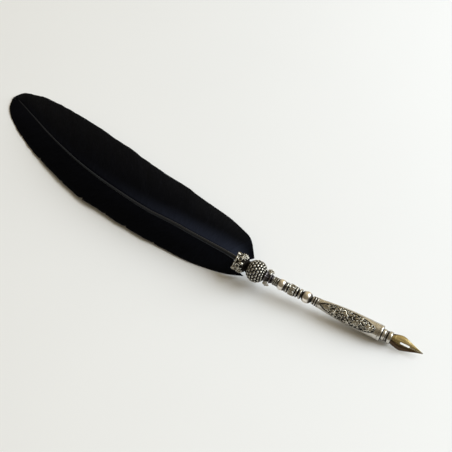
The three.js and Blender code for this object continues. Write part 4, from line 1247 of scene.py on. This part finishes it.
def make_head():
    sc = Sculpt()
    sc.ball(HEAD_C, HEAD_R * np.array([0.97, 0.97, 0.95]), nu=48, nv=30)
    sc.tube([[-119.35, 0, 0], [-120.4, 0, 0], [-121.6, 0, 0]], [3.9, 4.3, 4.4], sides=48)
    for sg in (-1, 1):
        # brow: from the dip over the beak out to the ear tip
        p = [on_head(125.6, sg * 0.05, 0.25)[0], on_head(125.9, sg * 0.9, 0.4)[0], on_head(126.0, sg * 2.0, 0.55)[0], on_head(126.2, sg * 3.1, 0.7)[0],
             np.array([-126.75, sg * 4.3, 2.75]), np.array([-127.25, sg * 5.25, 2.2])]
        p = densify(chaikin(p, 2), 0.25)
        sc.tube(p, np.interp(np.linspace(0, 1, len(p)), [0, 0.3, 0.85, 1], [0.56, 0.66, 0.62, 0.42]), sides=12)
        # ear tip runs back down the side of the head
        q = [np.array([-127.25, sg * 5.25, 2.2]), np.array([-126.5, sg * 5.55, 1.9]), np.array([-125.3, sg * 5.5, 2.0]), np.array([-124.3, sg * 5.45, 2.2])]
        q = densify(chaikin(q, 2), 0.25)
        sc.tube(q, np.linspace(0.42, 0.2, len(q)), sides=10)
        sc.ball([-126.2, sg * 4.3, 1.6], [1.1, 1.3, 1.1])
        # ringed eye
        c, n = on_head(123.6, sg * 2.35, 0.12)
        u = np.cross(n, [1, 0, 0])
        u /= np.linalg.norm(u)
        w = np.cross(n, u)
        a = np.linspace(0, 2 * math.pi, 48, endpoint=False)
        for rr, tr, lift in ((1.42, 0.27, 0.14), (0.98, 0.13, 0.05)):
            ringp = c + n * lift + rr * (np.cos(a)[:, None] * u + np.sin(a)[:, None] * w)
            sc.tube(ringp, [tr] * len(a), sides=10, up=n, closed=True)
        # feather rays outside the ring
        for k in range(7):
            t = -0.9 + 1.8 * k / 6
            d = (math.cos(t) * sg * u * (1 if u[1] > 0 else -1) + math.sin(t) * w)
            p0, p1 = c + d * 1.72 - n * 0.05, c + d * 2.35 - n * 0.35
            sc.tube([p0, (p0 + p1) / 2, p1], [0.16, 0.17, 0.08], sides=8)
        # cheek tuft: three drops edged by a ridge that runs to the face's lower corner
        for s_, y_, r_ in ((122.9, 4.2, 0.5), (121.9, 4.6, 0.46), (122.2, 3.5, 0.44), (121.2, 3.9, 0.42), (120.7, 4.7, 0.36), (123.2, 5.0, 0.36), (121.2, 2.9, 0.34)):
            c2, n2 = on_head(s_, sg * y_, 0.1)
            sc.ball(c2, [r_ * 1.5, r_ * 1.15, r_ * 1.1])
        e = [on_head(123.9, sg * 5.35, 0.1)[0], on_head(122.4, sg * 5.45, 0.2)[0], on_head(121.0, sg * 5.0, 0.25)[0], on_head(120.3, sg * 3.9, 0.2)[0],
             on_head(120.5, sg * 2.7, 0.15)[0]]
        e = densify(chaikin(e, 2), 0.25)
        sc.tube(e, np.interp(np.linspace(0, 1, len(e)), [0, 0.5, 1], [0.2, 0.34, 0.18]), sides=10)
    # beak: a drop that hooks down
    bk = densify(np.array([on_head(s_, 0.0, l_)[0] for s_, l_ in ((123.7, 0.1), (123.0, 0.3), (122.3, 0.45), (121.6, 0.5), (121.0, 0.4), (120.5, 0.1))]), 0.2)
    sc.tube(bk, np.interp(np.linspace(0, 1, len(bk)), [0, 0.25, 0.55, 0.8, 1], [0.22, 0.7, 1.02, 0.72, 0.15]), sides=16)
    # crown feathers on the back and top of the head
    rng = np.random.default_rng(4)
    for row_i, th in enumerate(np.linspace(0.5, 2.7, 9)):
        count = 15
        for k in range(count):
            ph = (k + 0.5 * (row_i % 2)) / count * math.pi + math.pi / 2
            d = np.array([math.cos(th), math.sin(th) * math.sin(ph - math.pi / 2) * 1.0, math.sin(th) * -abs(math.cos(ph - math.pi / 2))])
            d = np.array([math.cos(th), math.sin(th) * math.cos(k_ang(k, count, row_i)), -math.sin(th) * math.sin(k_ang(k, count, row_i))])
            p = HEAD_C + d * HEAD_R * 0.99
            if p[2] > 1.2:
                continue
            sc.ball(p, [0.62, 0.62, 0.62])
    cut = []
    for sg in (-1, 1):
        c, n = on_head(123.6, sg * 2.35, 0.0)
        cut.append(cylinder_mesh(c - n * 0.75, c + n * 1.6, 0.93))
    cut.append(cylinder_mesh([-110, SOCKET_OFFSET, 0], [-135, SOCKET_OFFSET, 0], 2.5, 64))
    v, f = sc.fused(0.105, smooth=0, cut=cut)
    q = (v - HEAD_C) / HEAD_R
    d = (np.linalg.norm(q, axis=1) - 0.965) * 5.0
    cav = np.clip(0.78 - (d - 0.02) / 0.5, 0, 1)
    cav[np.hypot(v[:, 1] - SOCKET_OFFSET, v[:, 2]) < 2.55] = 1
    cav[(-v[:, 0] < 120.5) & (np.hypot(v[:, 1], v[:, 2]) < 4.7)] = 0.95
    return new_mesh("owl_face", owl_row(v), f, {"cav": cav}, sharp=60)


def k_ang(k, count, row_i):
    return (k + 0.5 * (row_i % 2)) / count * math.pi


finish(make_head(), SILVER_CARVED, "owl_head")


def make_eye(name, sg):
    c, n = on_head(123.6, sg * 2.35, 0.02)
    u = np.cross(n, [1, 0, 0])
    u /= np.linalg.norm(u)
    w = np.cross(n, u)
    na, nb = 40, 20
    a = np.linspace(0, 2 * math.pi, na, endpoint=False)
    b = np.linspace(0, math.pi, nb + 1)[1:-1]
    B, A = np.meshgrid(b, a, indexing="ij")
    p = np.stack([np.sin(B) * np.cos(A), np.sin(B) * np.sin(A), np.cos(B)], -1).reshape(-1, 3)
    p = np.concatenate([p, [[0, 0, 1]], [[0, 0, -1]]]) * np.array([0.78, 0.78, 0.52])
    v = c + p[:, :1] * u + p[:, 1:2] * w + p[:, 2:] * n
    k = len(b) * na
    j = np.arange(na)
    e = (len(b) - 1) * na
    f = outward(v, [grid_faces(len(b), na, wrap_j=True), np.stack([np.full(na, k), j, (j + 1) % na], 1),
                    np.stack([np.full(na, k + 1), e + (j + 1) % na, e + j], 1)])
    return new_mesh(name, owl_row(v), f)


finish(make_eye("eye_bead_left", -1), GLASS, "owl_left_eye")
finish(make_eye("eye_bead_right", 1), GLASS, "owl_right_eye")
sock = turned("socket_tube", [[113.2, 2.1], [113.3, 2.2], [127.3, 2.2], [127.4, 2.1]], [[113.2, 1.78], [127.4, 1.78]],
              lambda p: owl_row(p + np.array([0, SOCKET_OFFSET, 0])), seg=64, smooth=0, step=0.8)
finish(sock, STEEL, "feather_socket")

# ------------------------------------------------------------------ feather
SHAFT_PATH = np.array([
    [-128.46, 1.97, 13.74], [-133.86, 2.38, 13.96], [-139.32, 2.83, 14.12], [-146.20, 3.42, 14.31],
    [-154.55, 4.13, 14.53], [-164.40, 5.01, 14.81], [-174.45, 6.14, 15.00], [-184.65, 6.87, 15.11],
    [-195.79, 7.61, 15.12], [-207.29, 9.39, 15.00], [-219.13, 11.75, 14.77], [-231.33, 14.51, 14.39],
    [-243.95, 17.76, 13.85], [-257.05, 21.61, 13.14], [-270.71, 26.25, 12.24], [-285.06, 31.93, 11.11],
    [-299.09, 37.89, 9.83], [-312.80, 44.31, 8.40], [-326.11, 51.03, 6.85], [-338.82, 57.46, 5.22],
    [-349.63, 63.03, 3.72], [-358.31, 67.53, 2.44], [-362.10, 69.46, 1.86]])
SHAFT_R = np.array([1.45, 1.42, 1.4, 1.36, 1.32, 1.27, 1.22, 1.16, 1.1, 1.04, 0.98, 0.92, 0.86, 0.8,
                    0.74, 0.67, 0.6, 0.53, 0.46, 0.4, 0.34, 0.3, 0.27])
WIDE_EDGE = np.array([
    [-119.05, 11.95, 7.70], [-128.83, 25.20, 7.39], [-137.83, 31.26, 7.04], [-150.01, 35.67, 6.85],
    [-165.08, 39.79, 7.05], [-183.12, 44.56, 7.24], [-199.34, 47.82, 7.35], [-212.92, 50.68, 7.31],
    [-228.05, 54.77, 7.04], [-242.21, 58.81, 6.78], [-256.23, 62.73, 6.16], [-270.58, 66.73, 5.54],
    [-284.94, 70.44, 4.79], [-298.93, 73.90, 3.93], [-313.32, 77.47, 2.95], [-328.01, 80.42, 1.80],
    [-338.09, 82.08, 1.03], [-347.16, 82.51, 0.52], [-355.00, 81.30, 0.37], [-359.72, 79.45, 0.46],
    [-363.18, 77.00, 0.52], [-366.0, 70.6, 0.57], [-365.50, 66.80, 0.59]])
NARROW_EDGE = np.array([
    [-120.44, 0.15, 1.60], [-130.13, -2.98, 0.66], [-140.52, -4.74, 0.10], [-152.77, -6.15, 0.42],
    [-166.40, -6.54, 0.92], [-180.48, -5.89, 1.45], [-193.41, -4.71, 1.89], [-204.62, -3.58, 2.19],
    [-216.87, -2.18, 2.46], [-228.92, 0.02, 2.61], [-240.93, 2.08, 2.68], [-253.22, 4.11, 2.62],
    [-266.06, 8.03, 2.43], [-279.24, 12.99, 2.19], [-292.83, 18.29, 1.89], [-306.95, 24.16, 1.50],
    [-318.84, 29.76, 1.16], [-330.28, 35.82, 0.91], [-341.28, 42.38, 0.68], [-349.10, 47.51, 0.54],
    [-355.64, 52.99, 0.54], [-361.6, 59.6, 0.58], [-365.55, 66.95, 0.45]])


_inner = WIDE_EDGE.copy()
_inner[2:-4] = (WIDE_EDGE[1:-5] + 2 * WIDE_EDGE[2:-4] + WIDE_EDGE[3:-3]) / 4
WIDE_EDGE = _inner


def spline(points, u):
    """Catmull-Rom through the points; u in [0, n-1]"""
    p = np.asarray(points, float)
    n = len(p)
    i = np.clip(np.floor(u).astype(int), 0, n - 2)
    f = (u - i)[:, None]
    p0 = np.where((i == 0)[:, None], 2 * p[0] - p[1], p[np.maximum(i - 1, 0)])
    p1, p2 = p[i], p[i + 1]
    p3 = np.where((i == n - 2)[:, None], 2 * p[-1] - p[-2], p[np.minimum(i + 2, n - 1)])
    return 0.5 * (2 * p1 + (p2 - p0) * f + (2 * p0 - 5 * p1 + 4 * p2 - p3) * f ** 2 + (3 * p1 - p0 - 3 * p2 + p3) * f ** 3)


def make_shaft():
    sock_pts = pen_to_mm(owl_to_pen(np.array([[-114.6, SOCKET_OFFSET, 0], [-119, SOCKET_OFFSET, 0], [-123.6, SOCKET_OFFSET, 0],
                                              [-127.2, SOCKET_OFFSET + 0.02, 0]])))
    path = np.concatenate([sock_pts, SHAFT_PATH[1:]])
    radii = np.concatenate([[1.25, 1.42, 1.45, 1.45], SHAFT_R[1:]])
    n = len(path)
    u = np.linspace(0, n - 1, (n - 1) * 12 + 1)
    p = spline(path, u)
    r = np.interp(u, np.arange(n), radii)
    t = np.gradient(p, axis=0)
    t /= np.linalg.norm(t, axis=1)[:, None]
    side = np.cross(np.array([0, 0, 1.0]), t)
    side /= np.linalg.norm(side, axis=1)[:, None]
    up = np.cross(t, side)
    sides = 28
    a = np.linspace(0, 2 * math.pi, sides, endpoint=False)
    # a shaft is a rounded box with a groove underneath
    boxy = 1 / (np.abs(np.cos(a)) ** 2.8 + np.abs(np.sin(a)) ** 2.8) ** (1 / 2.8)
    groove = 1 - 0.34 * np.exp(-((a - 1.5 * math.pi) / 0.34) ** 2)
    blendin = np.clip((u - 3.0) / 1.5, 0, 1)[:, None]
    prof = (1 - blendin) + blendin * (boxy * groove)[None] * 0.94
    v = p[:, None] + side[:, None] * (np.cos(a)[None, :, None] * r[:, None, None] * prof[..., None]) \
        + up[:, None] * (np.sin(a)[None, :, None] * r[:, None, None] * prof[..., None])
    v = v.reshape(-1, 3)
    k = len(v)
    v = np.concatenate([v, [p[0]], [p[-1] + t[-1] * r[-1]]])
    j = np.arange(sides)
    e = (len(p) - 1) * sides
    f = outward(v, [grid_faces(len(p), sides, wrap_j=True), np.stack([np.full(sides, k), (j + 1) % sides, j], 1),
                    np.stack([np.full(sides, k + 1), e + j, e + (j + 1) % sides], 1)])
    s_along = np.concatenate([[0], np.cumsum(np.linalg.norm(np.diff(p, axis=0), axis=1))])
    bu = np.concatenate([np.repeat(s_along, sides), [0], [s_along[-1]]])
    bv = np.concatenate([np.tile(np.sin(a) * 1.4 + np.cos(a) * 0.9, len(p)), [0, 0]])
    return new_mesh("shaft", row_row(v), f, {"bu": bu, "bv": bv}, sharp=60)


finish(make_shaft(), QUILL, "quill_shaft")


def smooth_noise1(x, seed, scale):
    p = np.stack([np.asarray(x, float), np.full(len(x), seed * 7.3), np.zeros(len(x))], 1)
    return noise3(p, scale, seed)


def make_vane(name, edge, sign, bulge, base_bend, rows, notches, spacing=0.5, sweep=0.10):
    """one corrugated sheet of barbs; each barb is a ridge from the shaft to the outline"""
    n_t = len(SHAFT_PATH)
    fine = np.linspace(0, n_t - 1, 4001)
    ps, pe = spline(SHAFT_PATH, fine), spline(edge, fine)
    d = 0.5 * np.linalg.norm(np.diff(ps, axis=0), axis=1) + 0.5 * np.linalg.norm(np.diff(pe, axis=0), axis=1)
    s = np.concatenate([[0], np.cumsum(d)])
    count = int(s[-1] / spacing)
    # valley, ridge, valley, ridge ... evenly by mean spacing
    cols = 2 * count + 1
    sv = np.linspace(0, s[-1], cols)
    u = np.interp(sv, s, fine)
    ridge = np.arange(cols) % 2 == 1
    P = spline(SHAFT_PATH, u)
    T = spline(SHAFT_PATH, np.clip(u + 0.02, 0, n_t - 1)) - spline(SHAFT_PATH, np.clip(u - 0.02, 0, n_t - 1))
    T /= np.linalg.norm(T, axis=1)[:, None]
    out = np.cross(np.array([0, 0, 1.0]), T)
    out /= np.linalg.norm(out, axis=1)[:, None]
    out *= np.where(out[:, 1] * sign > 0, 1, -1)[:, None]
    r = np.interp(u, np.arange(n_t), SHAFT_R)
    root = P + out * (r * 0.90)[:, None]
    root[:, 2] += 0.15 if sign > 0 else -0.1
    root[:, 0] += np.where(u < 0.3, 0.2 * (1 - u / 0.3), 0)
    E = spline(edge, u)
    length = np.linalg.norm(E - root, axis=1)
    # each barb ends a little short or long, and a few gaps open at the rim
    bi = np.arange(cols) // 2
    rng = np.random.default_rng(11 if sign > 0 else 12)
    jit = (rng.normal(0, 0.05, count + 2)[bi] + 0.18 * smooth_noise1(sv, 3, 3.5)) * np.clip(u / 3, 0.15, 1)
    cut = np.zeros(cols)
    for at, depth, width in notches:
        k = np.abs(sv / s[-1] - at) * s[-1]
        cut = np.maximum(cut, depth * np.clip(1 - k / width, 0, 1) ** 1.3)
    short = 0.1 + np.clip(jit, -0.4, 0.5) + cut + np.where(ridge, 0, 0.03)
    short = np.minimum(short, length * 0.5)
    qmax = 1 - short / length
    bend = np.zeros((cols, 3))
    bend[:, 2] = np.interp(u, [b[0] for b in bulge], [b[1] for b in bulge])
    for at, vec in base_bend:
        bend += np.clip(1 - np.abs(u - at), 0, 1)[:, None] * np.array(vec, float)
    # barbs leave the shaft more squarely and sweep forward towards the rim
    bend -= T * (length * sweep * np.clip(u / 3, 0, 1))[:, None] * 0.0
    ctrl = (root + E) / 2 + bend
    ctrl = ctrl - T * (length * sweep * np.clip((u - 1.5) / 3, 0, 1))[:, None]
    g = np.linspace(0, 1, rows) ** 0.92
    q = g[None] * qmax[:, None]
    Q = q[..., None]
    mid = root[:, None] * (1 - Q) ** 2 + ctrl[:, None] * 2 * Q * (1 - Q) + E[:, None] * Q ** 2
    # gentle waves across the sheet, stronger to the rim, and barbs that part in tufts
    L = np.repeat(length[:, None], rows, 1) * q
    wave = smooth_noise1(sv, 21, 16.0)[:, None] * 0.5 + smooth_noise1(sv, 22, 6.0)[:, None] * 0.28
    lift = wave * q ** 1.6 * np.clip(length / 20, 0.3, 1)[:, None]
    tuft = np.zeros(cols)
    for at, depth, width in notches:
        k = (sv / s[-1] - at) * s[-1]
        tuft += 0.2 * np.sign(k) * np.exp(-(np.abs(k) / (width * 2.2)) ** 2) * min(1.0, depth / 2)
    lift = lift + tuft[:, None] * q ** 3
    du = np.gradient(mid, axis=0)
    dv = np.gradient(mid, axis=1)
    N = np.cross(du, dv)
    N /= np.linalg.norm(N, axis=2)[..., None] + 1e-12
    N *= np.where(N[..., 2:3] < 0, -1, 1)
    mid = mid + N * lift[..., None]
    amp = 0.085 * np.where(ridge, 1, -1)[:, None] * np.clip(L / 1.2, 0.15, 1) * np.clip((1.001 - g[None]) / 0.08, 0.08, 1)
    thick = (0.26 - 0.14 * g)[None] * np.ones((cols, 1))
    top = mid + N * (amp + thick / 2)[..., None]
    low = mid + N * (amp * 0.6 - thick / 2)[..., None]
    # nothing goes below the plane that the pen lies on
    floor_z = 0.03
    for gsurf, z in ((low, floor_z), (top, floor_z + 0.1)):
        gsurf[..., 2] = np.maximum(gsurf[..., 2], z)
    v, f = sheet_solid(top, low)
    bu = np.repeat(sv[:, None] * 1.0, rows, 1).ravel()
    bv = L.ravel()
    ob = new_mesh(name, row_row(v), f, {"bu": np.concatenate([bu, bu]), "bv": np.concatenate([bv, bv])})
    return ob


WIDE_NOTCH = [(0.33, 0.3, 0.8), (0.83, 0.4, 0.9)]
NARROW_NOTCH = [(0.21, 0.7, 1.2), (0.30, 1.3, 1.7), (0.37, 0.8, 1.2), (0.46, 1.5, 1.8), (0.55, 0.7, 1.1), (0.67, 1.3, 1.7), (0.80, 0.8, 1.2)]
finish(make_vane("barbs_wide", WIDE_EDGE, 1, [[0, 1.6], [3, 3.2], [9, 4.0], [15, 3.0], [19, 1.6], [22, 0.5]],
                 [[0, [-1.0, -0.6, -7.0]], [1, [0.2, 0, -1.2]]], 30, WIDE_NOTCH), VANE, "wide_vane")
finish(make_vane("barbs_narrow", NARROW_EDGE, -1, [[0, 0.6], [3, 1.8], [8, 1.2], [15, 1.0], [19, 0.6], [22, 0.2]],
                 [[0, [-1.2, -1.2, -3.2]], [1, [-0.6, -1.2, -1.2]], [2, [-0.2, -1.0, 0.2]], [3, [0, -0.8, 0.2]]], 20, NARROW_NOTCH, sweep=0.08),
       VANE_LOW, "narrow_vane")

# ------------------------------------------------------------------ carried-over CAD node
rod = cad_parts["centre_rod"]
for i in range(len(rod.data.materials)):
    rod.data.materials[i] = STEEL
if not rod.data.materials:
    rod.data.materials.append(STEEL)
